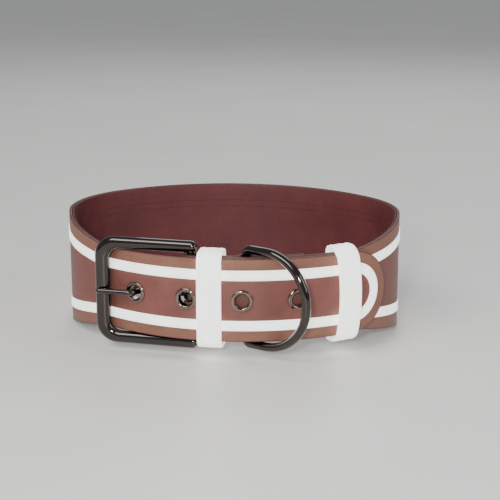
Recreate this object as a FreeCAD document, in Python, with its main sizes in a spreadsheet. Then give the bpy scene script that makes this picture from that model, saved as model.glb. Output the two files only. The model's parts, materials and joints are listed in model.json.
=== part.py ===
import FreeCAD, Part
import math
import os

import Sketcher

# Reflective dog collar with a pin buckle, two keepers and a leash ring.
#
# The collar stands on its lower edge, +Z up, buckled into an oval ring.  The buckle faces -Y and +X is
# to the right of somebody who looks at the buckle.  The strap starts at the heel bar of the buckle, runs
# to the right, round the back and the left side, and comes back to the front one strap thickness further
# out, where it passes under the far bar of the buckle and over its own start, and ends in a round tip.
#
# Directions on the ring: a bearing is the turn from -Y towards +X.  "Out" points away from the neck,
# "along" points to the right at the front of the ring.

os.makedirs("parts", exist_ok=True)
Vector = FreeCAD.Vector
UP = Vector(0, 0, 1)

doc = FreeCAD.newDocument("dog_collar")
sheet = doc.addObject("Spreadsheet::Sheet", "Sizes")

SIZES = [
    # the ring in plan, measured on the middle of the strap at its buckle end
    ("front_radius", 90.0),
    ("side_radius", 46.0),
    ("corner_bearing", 45.0),
    # the strap
    ("body_width", 56.0),
    ("tongue_width", 38.0),
    ("outer_ply", 1.4),
    ("lining_ply", 1.1),
    ("lap_gap", 0.15),
    ("buckle_end_length", 79.0),
    ("taper_length", 44.0),
    ("tongue_length", 141.0),
    ("tip_place", 83.0),
    # the fold that holds the buckle and the leash ring
    ("heel_place", -12.0),
    ("ring_place", 13.4),
    ("fold_end_place", 40.0),
    ("fold_bend", 4.0),
    ("pin_clearance", 0.08),
    # reflective tape
    ("tape_width", 4.6),
    ("tape_thickness", 0.35),
    ("tape_margin", 5.2),
    ("body_tape_margin", 7.7),
    # buckle
    ("buckle_reach", 42.0),
    ("buckle_thickness", 4.8),
    ("far_bar_width", 6.8),
    ("arm_width", 5.6),
    ("arm_clearance", 0.4),
    ("heel_bar_diameter", 4.0),
    ("buckle_corner", 9.5),
    ("buckle_window_corner", 5.0),
    ("buckle_rounding", 2.1),
    ("lie_gap", 0.35),
    # prong
    ("prong_diameter", 2.6),
    ("prong_eye_wall", 1.4),
    ("prong_dip", 2.5),
    ("prong_rise_run", 5.6),
    ("prong_overhang", 0.8),
    # leash ring
    ("ring_wire", 4.1),
    ("ring_clearance", 0.7),
    ("ring_leg", 10.0),
    ("ring_corner", 2.5),
    # keepers
    ("keeper_width", 11.0),
    ("keeper_wall", 1.8),
    ("keeper_edge_gap", 1.3),
    ("keeper_gap", 0.35),
    ("front_keeper_place", -2.0),
    ("rear_keeper_place", 57.0),
    # eyelets
    ("eyelet_count", 5),
    ("first_eyelet_place", -38.0),
    ("eyelet_pitch", 25.0),
    ("eyelet_bore", 6.4),
    ("eyelet_wall", 0.3),
    ("eyelet_flange", 10.0),
    ("eyelet_height", 0.8),
    ("washer_thickness", 0.5),
    ("washer_diameter", 9.2),
    # hidden rivets through the fold
    ("rivet_head", 7.6),
    ("rivet_head_thickness", 0.5),
    ("rivet_shank", 3.0),
    ("rivet_cap_thickness", 0.9),
    ("rivet_spread", 10.0),
    ("front_rivet_place", -0.6),
    ("rear_rivet_place", 28.0),
    ("fit_gap", 0.1),
]
for row, (name, number) in enumerate(SIZES, start=1):
    sheet.set(f"A{row}", name)
    sheet.set(f"B{row}", str(number))
    sheet.setAlias(f"B{row}", name)
doc.recompute()


def size(name):
    """A driving dimension, read from the sheet."""
    return float(sheet.get(name))


# ---------------------------------------------------------------- the line that the strap follows
STRAP = size("outer_ply") + size("lining_ply")
LAP = STRAP + size("tape_thickness") + size("lap_gap")
MIDDLE = size("body_width") / 2
FRONT = size("front_radius")
CORNER = math.radians(size("corner_bearing"))


# how far a cutter or a backing reaches past the face that it works on
CLEAR = 1.0
# half the depth of the wedges that cut the tapers; it takes in the curve of the buckle end
TAPER_HALF_DEPTH = 0.8 * size("buckle_end_length")
# how far behind the tongue's tip the cutters for its round end start
TIP_REACH = FRONT / 2

# edge roundings and lengths that are a share of another size
EYELET_ROUNDING = "Sizes.eyelet_height * 0.8"
RIVET_HEAD_ROUNDING = "Sizes.rivet_head_thickness * 0.6"
RIVET_CAP_ROUNDING = "Sizes.rivet_cap_thickness * 0.7"
ARM_END_ROUNDING = "Sizes.arm_width * 0.46"
KEEPER_BEND = "Sizes.keeper_wall * 1.3"
KEEPER_INNER_BEND = "Sizes.keeper_edge_gap * 0.6"
PRONG_EYE_SHARE = 1.2
# the tolerances for a station on the strap's line and for telling edges apart
SAME_PLACE = 1e-6
SAME_LEVEL = 1e-4
SAME_SPOT = 1e-3


def outward(bearing):
    return Vector(math.sin(bearing), -math.cos(bearing), 0)


def along(bearing):
    return Vector(math.cos(bearing), math.sin(bearing), 0)


class Arc:
    """A stretch of the strap's middle line: a centre, a radius and the bearings of its two ends."""

    def __init__(self, centre, radius, start, end):
        self.centre = centre
        self.radius = radius
        self.start = start
        self.end = end

    def length(self):
        return self.radius * (self.end - self.start)

    def point(self, bearing, out=0.0):
        return self.centre + outward(bearing) * (self.radius + out)


def strap_line():
    """Six arcs from the heel bar to the tip.

    Each arc starts where the last one ends and in the same direction.  The back and left radii are
    half a lap larger than the front and right ones, which brings the strap back to the front exactly
    one lap further out, round the same centre.
    """
    side = size("side_radius")
    half_lap = LAP / 2
    turn = math.pi
    front_centre = Vector(0, 0, 0)
    right_centre = front_centre + outward(CORNER) * (FRONT - side)
    back_centre = right_centre + outward(turn - CORNER) * (side - FRONT - half_lap)
    left_centre = back_centre + outward(turn + CORNER) * (FRONT - side)
    tip_beyond = size("tip_place") - (FRONT + LAP) * CORNER
    return [
        Arc(front_centre, FRONT, size("heel_place") / FRONT, CORNER),
        Arc(right_centre, side, CORNER, turn - CORNER),
        Arc(back_centre, FRONT + half_lap, turn - CORNER, turn + CORNER),
        Arc(left_centre, side + half_lap, turn + CORNER, 2 * turn - CORNER),
        Arc(front_centre, FRONT + LAP, 2 * turn - CORNER, 2 * turn + CORNER),
        Arc(right_centre, side + LAP, 2 * turn + CORNER, 2 * turn + CORNER + tip_beyond / (side + LAP)),
    ]


LINE = strap_line()
LINE_LENGTH = sum(arc.length() for arc in LINE)
TONGUE_START = LINE_LENGTH - size("tongue_length")


def stretch(start, end):
    """The arcs of the strap's line between two distances from the heel bar."""
    pieces = []
    passed = 0.0
    for arc in LINE:
        first = max(start - passed, 0.0)
        last = min(end - passed, arc.length())
        if last - first > SAME_PLACE:
            from_bearing = arc.start + first / arc.radius
            to_bearing = arc.start + last / arc.radius
            pieces.append(Arc(arc.centre, arc.radius, from_bearing, to_bearing))
        passed += arc.length()
    return pieces


def bent_edge(centre, radius, start, end):
    """A circular edge round a centre, from one bearing to another."""
    stations = (start, (start + end) / 2, end)
    return Part.Arc(*[centre + outward(bearing) * radius for bearing in stations]).toShape()


def ribbon(arcs, inner, outer):
    """The plan face of a ply that lies between two offsets from the line."""
    far_side = [bent_edge(arc.centre, arc.radius + outer, arc.start, arc.end) for arc in arcs]
    near_side = [bent_edge(arc.centre, arc.radius + inner, arc.end, arc.start) for arc in reversed(arcs)]
    first, last = arcs[0], arcs[-1]
    tip = Part.LineSegment(last.point(last.end, outer), last.point(last.end, inner)).toShape()
    root = Part.LineSegment(first.point(first.start, inner), first.point(first.start, outer)).toShape()
    return Part.Face(Part.Wire(far_side + [tip] + near_side + [root]))


# ---------------------------------------------------------------- small makers of document objects
def feature(name, shape):
    """A plain shape as a document object."""
    item = doc.addObject("Part::Feature", name)
    item.Shape = shape
    return item


def raised(name, face, height, base):
    """A plan face raised to a height that the sheet gives, from a level that the sheet gives."""
    plan = feature(name + "_plan", face)
    item = doc.addObject("Part::Extrusion", name)
    item.Base = plan
    item.DirMode = "Custom"
    item.Dir = UP
    item.Solid = True
    item.setExpression("LengthFwd", height)
    item.setExpression("Placement.Base.z", base)
    return item


def together(kind, name, shapes):
    item = doc.addObject(kind, name)
    item.Shapes = shapes
    return item


def cut(name, base, tool):
    item = doc.addObject("Part::Cut", name)
    item.Base = base
    item.Tool = tool
    return item


def facing(origin, right, out):
    """A placement whose X axis is right, whose Y axis is up and whose Z axis points out."""
    turn = FreeCAD.Rotation(right, UP, out, "ZXY")
    return FreeCAD.Placement(origin, turn)


def round_bar(name, diameter, length, placement):
    """A cylinder about the Z axis of a placement; it starts at the placement."""
    item = doc.addObject("Part::Cylinder", name)
    item.setExpression("Radius", "(" + diameter + ") / 2")
    item.setExpression("Height", length)
    item.Placement = placement
    return item


def origin_plane(body, role):
    return next(item for item in body.Origin.OriginFeatures if item.Role == role)


def outline(body, name, plane, corners):
    """A closed polygon in a sketch; each corner is a pair of expressions."""
    sketch = body.newObject("Sketcher::SketchObject", name)
    sketch.AttachmentSupport = [(origin_plane(body, plane), "")]
    sketch.MapMode = "FlatFace"
    places = []
    for across, upright in corners:
        places.append(Vector(evaluate(across), evaluate(upright), 0))
    count = len(places)
    for index in range(count):
        sketch.addGeometry(Part.LineSegment(places[index], places[(index + 1) % count]), False)
    for index in range(count):
        sketch.addConstraint(Sketcher.Constraint("Coincident", index, 2, (index + 1) % count, 1))
    for index, (across, upright) in enumerate(corners):
        spot = places[index]
        for kind, text, number in (("DistanceX", across, spot.x), ("DistanceY", upright, spot.y)):
            place = sketch.addConstraint(Sketcher.Constraint(kind, -1, 1, index, 1, number))
            sketch.renameConstraint(place, f"{kind}_{index}")
            sketch.setExpression(f"Constraints.{kind}_{index}", text)
    return sketch


def evaluate(text):
    """The present value of an expression on the sheet."""
    number = sheet.evalExpression(text)
    return float(getattr(number, "Value", number))


def turned_body(name, corners, rounding=None):
    """A Body turned about its Z axis from a half section, with its outermost top edge rounded."""
    body = doc.addObject("PartDesign::Body", name)
    section = outline(body, name + "_section", "XZ_Plane", corners)
    turned = body.newObject("PartDesign::Revolution", name + "_turned")
    turned.Profile = section
    turned.ReferenceAxis = (section, ["V_Axis"])
    turned.Angle = 360
    body.Tip = turned
    doc.recompute()
    if rounding:
        top = turned.Shape.BoundBox.ZMax
        names = []
        for index, edge in enumerate(turned.Shape.Edges, start=1):
            low, high = edge.BoundBox.ZMin, edge.BoundBox.ZMax
            if abs(low - top) < SAME_LEVEL and abs(high - top) < SAME_LEVEL:
                names.append(f"Edge{index}")
        soft = body.newObject("PartDesign::Fillet", name + "_rounded")
        soft.Base = (turned, names)
        soft.setExpression("Radius", rounding)
        body.Tip = soft
        doc.recompute()
    return body


# ---------------------------------------------------------------- strap, cut to its outline
def taper_cutters(name, start, end, level_start, level_end, reach):
    """Two wedges, above and below, that leave a strap with a half width that changes along it.

    The half width is level_start up to the start station and grows evenly to level_end at the end one.
    """
    direction = end - start
    run = direction.Length
    direction.normalize()
    sideways = direction.cross(UP)
    roof = size("body_width")
    wedges = []
    for sense in (1, -1):
        profile = [(-reach, level_start), (0, level_start), (run, level_end), (run, roof), (-reach, roof)]
        corners = [
            start + direction * distance + UP * (MIDDLE + sense * level)
            for distance, level in profile
        ]
        wire = Part.makePolygon(corners + corners[:1])
        face = Part.Face(wire)
        face.translate(sideways * -TAPER_HALF_DEPTH)
        wedges.append(face.extrude(sideways * 2 * TAPER_HALF_DEPTH))
    return feature(name, Part.makeCompound(wedges))


def at_distance(distance, out=0.0):
    """The point and the bearing at a distance from the heel bar, measured along the strap."""
    last = stretch(0, distance)[-1]
    return last.point(last.end, out), last.end


def tapers(name, end_margin, body_margin):
    """Wedges for the two tapers, for an outline that lies inside the strap's edge.

    One margin holds at the buckle end and the tongue, the other on the wide body.
    """
    narrow = size("tongue_width") / 2 - end_margin
    wide = size("body_width") / 2 - body_margin
    right_start = at_distance(size("buckle_end_length"))[0]
    right_end = at_distance(size("buckle_end_length") + size("taper_length"))[0]
    left_start = at_distance(TONGUE_START)[0]
    left_end = at_distance(TONGUE_START - size("taper_length"))[0]
    reach = size("buckle_end_length")
    right = taper_cutters(name + "_right", right_start, right_end, narrow, wide, reach)
    left = taper_cutters(name + "_left", left_start, left_end, narrow, wide, CLEAR)
    return [right, left]


TIP_CENTRE_DISTANCE = LINE_LENGTH - size("tongue_width") / 2
BASE_LEVEL = "(Sizes.body_width - Sizes.tongue_width) / 2"


def tongue_end(name, inner, outer, diameter):
    """The round end of a ply of the tongue."""
    centre, bearing = at_distance(TIP_CENTRE_DISTANCE)
    face = ribbon(stretch(TIP_CENTRE_DISTANCE, LINE_LENGTH + CLEAR), inner, outer)
    block = raised(name + "_block", face, "Sizes.tongue_width", BASE_LEVEL)
    base = centre - outward(bearing) * TIP_REACH + UP * MIDDLE
    placement = facing(base, along(bearing), outward(bearing))
    disc = round_bar(name + "_disc", diameter, "2 * Sizes.front_radius", placement)
    return together("Part::MultiCommon", name, [block, disc])


# ---------------------------------------------------------------- the fold round the two bars
OUTER_INSIDE = STRAP / 2 - size("outer_ply")
LINING_RADIUS = FRONT - STRAP / 2
HEEL_REACH = size("heel_bar_diameter") / 2 + size("pin_clearance")
RING_REACH = size("ring_wire") / 2 + size("pin_clearance")
HEEL_BEARING = size("heel_place") / FRONT
RING_BEARING = size("ring_place") / FRONT
HEEL = outward(HEEL_BEARING) * (FRONT + OUTER_INSIDE - HEEL_REACH)
RING_BAR = outward(RING_BEARING) * (LINING_RADIUS - RING_REACH)
FOLD_BEND = size("fold_bend")


def half_bulge(bar, reach):
    """How far round the ring, in bearing, a bulge over a bar blends back into the strap."""
    return corner_angle(bar.Length, LINING_RADIUS - FOLD_BEND, reach + FOLD_BEND)


def corner_angle(first, second, opposite):
    """The angle of a triangle between two of its sides, by the law of cosines."""
    return math.acos((first**2 + second**2 - opposite**2) / (2 * first * second))


def fold_inside(bearing):
    """The radius of the folded end's inner face, at a bearing between the two bars."""
    ply = size("outer_ply")
    blend_radius = LINING_RADIUS - FOLD_BEND
    turn = max(HEEL_BEARING + half_bulge(HEEL, HEEL_REACH) - bearing, 0.0)
    aside = blend_radius * math.sin(turn)
    if aside < FOLD_BEND - ply:
        return blend_radius * math.cos(turn) + math.sqrt((FOLD_BEND - ply) ** 2 - aside**2)
    return HEEL.Length - HEEL_REACH - ply


def free_edge(centre, radius, start, end):
    """An arc about a centre between two directions given as points, the short way round."""
    first = (start - centre).normalize()
    last = (end - centre).normalize()
    middle = (first + last).normalize()
    return Part.Arc(centre + first * radius, centre + middle * radius, centre + last * radius).toShape()


def folded_ply():
    """The plan face of the outer ply's folded end.

    It turns round the heel bar, lies against the lining, bulges over the ring's bar and lies against
    the lining again up to its end.  Each bend is an arc; the two faces of the ply are one ply apart.
    """
    ply = size("outer_ply")
    end_bearing = size("fold_end_place") / FRONT
    heel_blend = HEEL_BEARING + half_bulge(HEEL, HEEL_REACH)
    ring_bulge = half_bulge(RING_BAR, RING_REACH)
    ring_blends = [RING_BEARING - ring_bulge, RING_BEARING + ring_bulge]
    blend_radius = LINING_RADIUS - FOLD_BEND
    centres = [outward(bearing) * blend_radius for bearing in [heel_blend] + ring_blends]
    first_side = []
    second_side = []
    for side, extra in ((first_side, 0.0), (second_side, ply)):
        top = HEEL + outward(HEEL_BEARING) * (HEEL_REACH + extra)
        left = HEEL - along(HEEL_BEARING) * (HEEL_REACH + extra)
        side.append(free_edge(HEEL, HEEL_REACH + extra, top, left))
        bends = FOLD_BEND - extra
        side.append(free_edge(HEEL, HEEL_REACH + extra, left, centres[0]))
        side.append(free_edge(centres[0], bends, HEEL, outward(heel_blend) * FRONT))
        side.append(bent_edge(Vector(), LINING_RADIUS - extra, heel_blend, ring_blends[0]))
        side.append(free_edge(centres[1], bends, outward(ring_blends[0]) * FRONT, RING_BAR))
        side.append(free_edge(RING_BAR, RING_REACH + extra, centres[1], centres[2]))
        side.append(free_edge(centres[2], bends, RING_BAR, outward(ring_blends[1]) * FRONT))
        side.append(bent_edge(Vector(), LINING_RADIUS - extra, ring_blends[1], end_bearing))
    heel_out = outward(HEEL_BEARING)
    end_out = outward(end_bearing)
    root = Part.LineSegment(HEEL + heel_out * HEEL_REACH, HEEL + heel_out * (HEEL_REACH + ply)).toShape()
    finish = Part.LineSegment(end_out * LINING_RADIUS, end_out * (LINING_RADIUS - ply)).toShape()
    wire = Part.Wire(Part.__sortEdges__(first_side + second_side + [root, finish]))
    return Part.Face(wire)


# ---------------------------------------------------------------- places on the tongue
TONGUE_RADIUS = FRONT + LAP
TONGUE_OUT = TONGUE_RADIUS + STRAP / 2
EYELETS = range(int(size("eyelet_count")))


def eyelet_place(index):
    """Where an eyelet sits on the middle of the tongue: its point and its bearing."""
    bearing = (size("first_eyelet_place") + index * size("eyelet_pitch")) / TONGUE_RADIUS
    return outward(bearing) * TONGUE_RADIUS + UP * MIDDLE, bearing


def rivet_places():
    """Where the four hidden rivets cross the strap's middle line."""
    places = []
    for place in (size("front_rivet_place"), size("rear_rivet_place")):
        bearing = place / FRONT
        for sense in (1, -1):
            level = MIDDLE + sense * size("rivet_spread")
            places.append((outward(bearing) * FRONT + UP * level, bearing))
    return places


def drill(name, point, bearing, diameter, start, length):
    """A round cutter along the outward direction, starting an offset from a point."""
    base = point + outward(bearing) * start
    return round_bar(name, diameter, length, facing(base, along(bearing), outward(bearing)))


# ---------------------------------------------------------------- the two plies of the strap
BARREL = "(Sizes.eyelet_bore + 2 * Sizes.eyelet_wall + 2 * Sizes.fit_gap)"


def strap_ply(name, inner, outer, extra, cutters):
    """A whole ply: body with its tapers, tongue with its round end, then what is cut from it."""
    start = 0.0 if name == "strap_outer" else lining_start()
    body_face = ribbon(stretch(start, TONGUE_START), inner, outer)
    body = raised(name + "_body", body_face, "Sizes.body_width", "0")
    body = cut(name + "_tapered", body, together("Part::MultiFuse", name + "_wedges", tapers(name, 0.0, 0.0)))
    tongue_face = ribbon(stretch(TONGUE_START, TIP_CENTRE_DISTANCE), inner, outer)
    tongue = raised(name + "_tongue", tongue_face, "Sizes.tongue_width", BASE_LEVEL)
    end = tongue_end(name + "_end", inner, outer, "Sizes.tongue_width")
    whole = together("Part::MultiFuse", name + "_whole", [body, tongue, end] + extra)
    return cut(name, whole, together("Part::MultiFuse", name + "_cuts", cutters))


def lining_start():
    """The lining begins where the folded end meets it."""
    return (HEEL_BEARING + half_bulge(HEEL, HEEL_REACH) - LINE[0].start) * FRONT


def strap_cutters(name):
    """Holes for the eyelets and the rivets, and seats for the washers and the rivet heads."""
    washer = "Sizes.washer_diameter + 2 * Sizes.fit_gap"
    washer_seat = -STRAP / 2 - WASHER_SEAT_DEPTH
    shank = "Sizes.rivet_shank + 2 * Sizes.fit_gap"
    head = "Sizes.rivet_head + 2 * Sizes.fit_gap"
    head_seat = STRAP / 2 - RIVET_SEAT_DEPTH
    hole_length = str(4 * STRAP + LAP / 2)
    seat_length = str(RIVET_SEAT_DEPTH + size("lap_gap"))
    cutters = []
    for index in EYELETS:
        point, bearing = eyelet_place(index)
        hole = f"{name}_eyelet_hole_{index}"
        seat = f"{name}_washer_seat_{index}"
        cutters.append(drill(hole, point, bearing, BARREL, -STRAP, "3 * Sizes.eyelet_bore"))
        cutters.append(drill(seat, point, bearing, washer, washer_seat, str(2 * WASHER_SEAT_DEPTH)))
    for index, (point, bearing) in enumerate(rivet_places()):
        hole = f"{name}_rivet_hole_{index}"
        seat = f"{name}_rivet_seat_{index}"
        cutters.append(drill(hole, point, bearing, shank, -4 * STRAP, hole_length))
        cutters.append(drill(seat, point, bearing, head, head_seat, seat_length))
    return cutters


def sagitta(radius, reach):
    """How far a curved face drops away from a flat one at a reach from where they touch."""
    return radius - math.sqrt(radius**2 - reach**2)


WASHER_SEAT_DEPTH = size("washer_thickness") + sagitta(FRONT, size("washer_diameter") / 2)
RIVET_SEAT_DEPTH = size("rivet_head_thickness") + sagitta(FRONT, size("rivet_head") / 2)


def prong_slot():
    """The slot that lets the prong's eye through the fold; it stops short of the tongue."""
    item = doc.addObject("Part::Box", "prong_slot")
    item.setExpression("Length", "Sizes.heel_bar_diameter + 4 * Sizes.outer_ply + Sizes.fold_bend")
    item.setExpression("Width", "Sizes.prong_diameter + 2 * Sizes.prong_eye_wall")
    reach = "Sizes.heel_bar_diameter / 2 + Sizes.pin_clearance + Sizes.outer_ply + Sizes.lap_gap"
    item.setExpression("Height", "2 * Sizes.heel_bar_diameter + " + reach)
    depth = 2 * size("heel_bar_diameter")
    corner = HEEL - outward(HEEL_BEARING) * depth
    corner = corner - along(HEEL_BEARING) * (size("heel_bar_diameter") / 2 + size("outer_ply") + CLEAR)
    width = size("prong_diameter") + 2 * size("prong_eye_wall")
    corner = corner + UP * (MIDDLE - width / 2)
    item.Placement = facing(corner, along(HEEL_BEARING), outward(HEEL_BEARING))
    return item


fold = raised("folded_end", folded_ply(), "Sizes.tongue_width", BASE_LEVEL)
outer_cuts = strap_cutters("outer") + [prong_slot()]
strap_outer = strap_ply("strap_outer", OUTER_INSIDE, STRAP / 2, [fold], outer_cuts)
strap_lining = strap_ply("strap_lining", -STRAP / 2, OUTER_INSIDE, [], strap_cutters("lining"))


# ---------------------------------------------------------------- reflective tape
TAPE_IN = STRAP / 2
TAPE_OUT = TAPE_IN + size("tape_thickness")
TAPE_NEAR = size("tape_margin")
TAPE_FAR = TAPE_NEAR + size("tape_width")
BODY_NEAR = size("body_tape_margin")
BODY_FAR = BODY_NEAR + size("tape_width")


def tape_run(name, sense):
    """One run of tape on the outer face; its margin from the edge grows through the tapers."""
    start = size("buckle_end_length") + CLEAR
    arcs = stretch(start, TONGUE_START)
    half = "Sizes.body_width / 2"
    base = half if sense > 0 else "Sizes.body_tape_margin"
    body = raised(name + "_band", ribbon(arcs, TAPE_IN, TAPE_OUT), half + " - Sizes.body_tape_margin", base)
    between = "Sizes.body_width - 2 * Sizes.body_tape_margin - 2 * Sizes.tape_width"
    middle_face = ribbon(arcs, TAPE_IN - CLEAR, TAPE_OUT + CLEAR)
    middle = raised(name + "_middle", middle_face, between, "Sizes.body_tape_margin + Sizes.tape_width")
    inner_pair = tapers(name + "_inner", TAPE_FAR, BODY_FAR)
    inner_wedges = together("Part::MultiFuse", name + "_inner_wedges", inner_pair)
    middle = cut(name + "_inside", middle, inner_wedges)
    outer_pair = tapers(name + "_outer", TAPE_NEAR, BODY_NEAR)
    outer_wedges = together("Part::MultiFuse", name + "_outer_wedges", outer_pair)
    trimmed = cut(name + "_trimmed", body, outer_wedges)
    strip = cut(name + "_strip", trimmed, middle)
    level = BASE_LEVEL + " + Sizes.tape_margin"
    if sense > 0:
        level = BASE_LEVEL + " + Sizes.tongue_width - Sizes.tape_margin - Sizes.tape_width"
    tongue_face = ribbon(stretch(TONGUE_START, TIP_CENTRE_DISTANCE), TAPE_IN, TAPE_OUT)
    tongue = raised(name + "_tongue", tongue_face, "Sizes.tape_width", level)
    return together("Part::MultiFuse", name, [strip, tongue])


def tape_tip(name):
    """The tape's round turn at the tip of the tongue, from the upper run to the lower one."""
    outer_diameter = "Sizes.tongue_width - 2 * Sizes.tape_margin"
    inner_diameter = outer_diameter + " - 2 * Sizes.tape_width"
    outside = tongue_end(name + "_outside", TAPE_IN, TAPE_OUT, outer_diameter)
    centre, bearing = at_distance(TIP_CENTRE_DISTANCE)
    middle = centre + UP * MIDDLE
    inside = drill(name + "_inside", middle, bearing, inner_diameter, -TIP_REACH, "2 * Sizes.front_radius")
    return cut(name, outside, inside)


tape_upper = tape_run("tape_upper", 1)
tape_lower = tape_run("tape_lower", -1)
tape_end = tape_tip("tape_tip")


# ---------------------------------------------------------------- eyelets and their washers
def set_out(body, point, bearing, out):
    """Stand a turned body on a point, its axis pointing out and its zero an offset from the point."""
    turn = FreeCAD.Rotation(UP, outward(bearing))
    body.Placement = FreeCAD.Placement(point + outward(bearing) * out, turn)
    return body


eyelets = []
for index in EYELETS:
    point, bearing = eyelet_place(index)
    bore = "Sizes.eyelet_bore / 2"
    barrel = "Sizes.eyelet_bore / 2 + Sizes.eyelet_wall"
    depth = f"-{STRAP:.6g} - Sizes.fit_gap"
    eyelet = turned_body(f"eyelet_{index + 1}", [
        (bore, depth), (barrel, depth), (barrel, "0"), ("Sizes.eyelet_flange / 2", "0"),
        ("Sizes.eyelet_flange / 2", "Sizes.eyelet_height"), (bore, "Sizes.eyelet_height"),
    ], EYELET_ROUNDING)
    set_out(eyelet, point, bearing, STRAP / 2)
    washer = turned_body(f"eyelet_washer_{index + 1}", [
        (barrel + " + Sizes.fit_gap / 2", "0"), ("Sizes.washer_diameter / 2", "0"),
        ("Sizes.washer_diameter / 2", "Sizes.washer_thickness"),
        (barrel + " + Sizes.fit_gap / 2", "Sizes.washer_thickness"),
    ])
    set_out(washer, point, bearing, WASHER_SEAT_DEPTH - size("washer_thickness") - STRAP / 2)
    eyelets += [eyelet, washer]

# ---------------------------------------------------------------- hidden rivets through the fold
CAP_SEAT = STRAP / 2 + size("outer_ply") + sagitta(LINING_RADIUS, size("rivet_head") / 2)
POST_LENGTH = STRAP / 2 - RIVET_SEAT_DEPTH + CAP_SEAT
rivets = []
for index, (point, bearing) in enumerate(rivet_places()):
    shank = "Sizes.rivet_shank / 2"
    head = "Sizes.rivet_head / 2"
    foot = f"-{POST_LENGTH:.6g}"
    post = turned_body(f"rivet_post_{index + 1}", [
        ("0", foot), (shank, foot), (shank, "0"), (head, "0"),
        (head, "Sizes.rivet_head_thickness"), ("0", "Sizes.rivet_head_thickness"),
    ], RIVET_HEAD_ROUNDING)
    set_out(post, point, bearing, STRAP / 2 - RIVET_SEAT_DEPTH)
    cap = turned_body(f"rivet_cap_{index + 1}", [
        ("0", "0"), (head, "0"),
        (head, "Sizes.rivet_cap_thickness"), ("0", "Sizes.rivet_cap_thickness"),
    ], RIVET_CAP_ROUNDING)
    inwards = outward(bearing) * -1
    cap.Placement = FreeCAD.Placement(point + inwards * CAP_SEAT, FreeCAD.Rotation(UP, inwards))
    rivets += [post, cap]


# ---------------------------------------------------------------- buckle
def edges_where(shape, test):
    return [f"Edge{index}" for index, edge in enumerate(shape.Edges, start=1) if test(edge)]


def rounded(body, base, name, names, radius):
    item = body.newObject("PartDesign::Fillet", name)
    item.Base = (base, names)
    item.setExpression("Radius", radius)
    body.Tip = item
    doc.recompute()
    return item


def stands_at(across, upright):
    """A test for the straight edge, parallel to the pad, that stands at a corner of the outline."""

    def test(edge):
        box = edge.BoundBox
        straight = box.XLength < SAME_LEVEL and box.YLength < SAME_LEVEL
        return straight and abs(abs(box.YMin) - upright) < SAME_SPOT and abs(box.XMin - across) < SAME_SPOT

    return test


def lies_at(half_thickness):
    """A test for the edges that lie in either of the two flat faces of the frame."""

    def test(edge):
        box = edge.BoundBox
        return box.ZLength < SAME_SPOT and abs(abs(box.ZMin) - half_thickness) < SAME_SPOT

    return test


BUCKLE_HALF = size("tongue_width") / 2 + size("arm_clearance") + size("arm_width")
FAR_BAR_FLAT = size("far_bar_width") / 2 - size("buckle_rounding")
FAR_BAR_RISE = size("buckle_thickness") / 2 - size("buckle_rounding")
FAR_CORE = math.hypot(FAR_BAR_FLAT, FAR_BAR_RISE)
FAR_OUT = TONGUE_OUT + size("tape_thickness") + size("lie_gap") + FAR_CORE + size("buckle_rounding")


def far_bar_bearing():
    """The bearing at which the far bar is one buckle reach away from the heel bar."""
    return HEEL_BEARING - corner_angle(HEEL.Length, FAR_OUT, size("buckle_reach"))


FAR_BAR = outward(far_bar_bearing()) * FAR_OUT
TO_FAR = (FAR_BAR - HEEL).normalize()
BUCKLE_OUT = TO_FAR.cross(UP) * -1


def make_buckle():
    """A flat frame, open at the heel, with a round heel bar between its arms."""
    body = doc.addObject("PartDesign::Body", "buckle_frame")
    toe = "-Sizes.arm_width / 2"
    end = "Sizes.buckle_reach + Sizes.far_bar_width / 2"
    window = "Sizes.buckle_reach - Sizes.far_bar_width / 2"
    inside = "Sizes.tongue_width / 2 + Sizes.arm_clearance"
    outside = inside + " + Sizes.arm_width"
    low_inside = "-(" + inside + ")"
    low_outside = "-(" + outside + ")"
    frame = outline(body, "buckle_outline", "XY_Plane", [
        (toe, inside), (toe, outside), (end, outside), (end, low_outside),
        (toe, low_outside), (toe, low_inside), (window, low_inside), (window, inside),
    ])
    pad = body.newObject("PartDesign::Pad", "buckle_pad")
    pad.Profile = frame
    pad.setExpression("Length", "Sizes.buckle_thickness")
    pad.SideType = "Symmetric"
    body.Tip = pad
    doc.recompute()
    far = size("buckle_reach") + size("far_bar_width") / 2
    near = size("buckle_reach") - size("far_bar_width") / 2
    window_half = BUCKLE_HALF - size("arm_width")
    corners = edges_where(pad.Shape, stands_at(far, BUCKLE_HALF))
    step = rounded(body, pad, "buckle_corners", corners, "Sizes.buckle_corner")
    corners = edges_where(step.Shape, stands_at(near, window_half))
    step = rounded(body, step, "buckle_window_corners", corners, "Sizes.buckle_window_corner")
    tips = edges_where(step.Shape, stands_at(-size("arm_width") / 2, BUCKLE_HALF))
    tips += edges_where(step.Shape, stands_at(-size("arm_width") / 2, window_half))
    step = rounded(body, step, "buckle_arm_ends", tips, ARM_END_ROUNDING)
    rims = edges_where(step.Shape, lies_at(size("buckle_thickness") / 2))
    rounded(body, step, "buckle_rims", rims, "Sizes.buckle_rounding")
    bar = body.newObject("PartDesign::AdditiveCylinder", "heel_bar")
    bar.setExpression("Radius", "Sizes.heel_bar_diameter / 2")
    bar.setExpression("Height", "Sizes.tongue_width + 2 * Sizes.arm_clearance + Sizes.arm_width")
    bar.AttachmentSupport = [(origin_plane(body, "XY_Plane"), "")]
    bar.MapMode = "FlatFace"
    low_end = Vector(0, size("arm_width") / 2 - BUCKLE_HALF, 0)
    bar.AttachmentOffset = FreeCAD.Placement(low_end, FreeCAD.Rotation(Vector(1, 0, 0), -90))
    body.Tip = bar
    turn = FreeCAD.Rotation(TO_FAR, UP, BUCKLE_OUT, "XYZ")
    body.Placement = FreeCAD.Placement(HEEL + UP * MIDDLE, turn)
    return body


buckle = make_buckle()


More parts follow.
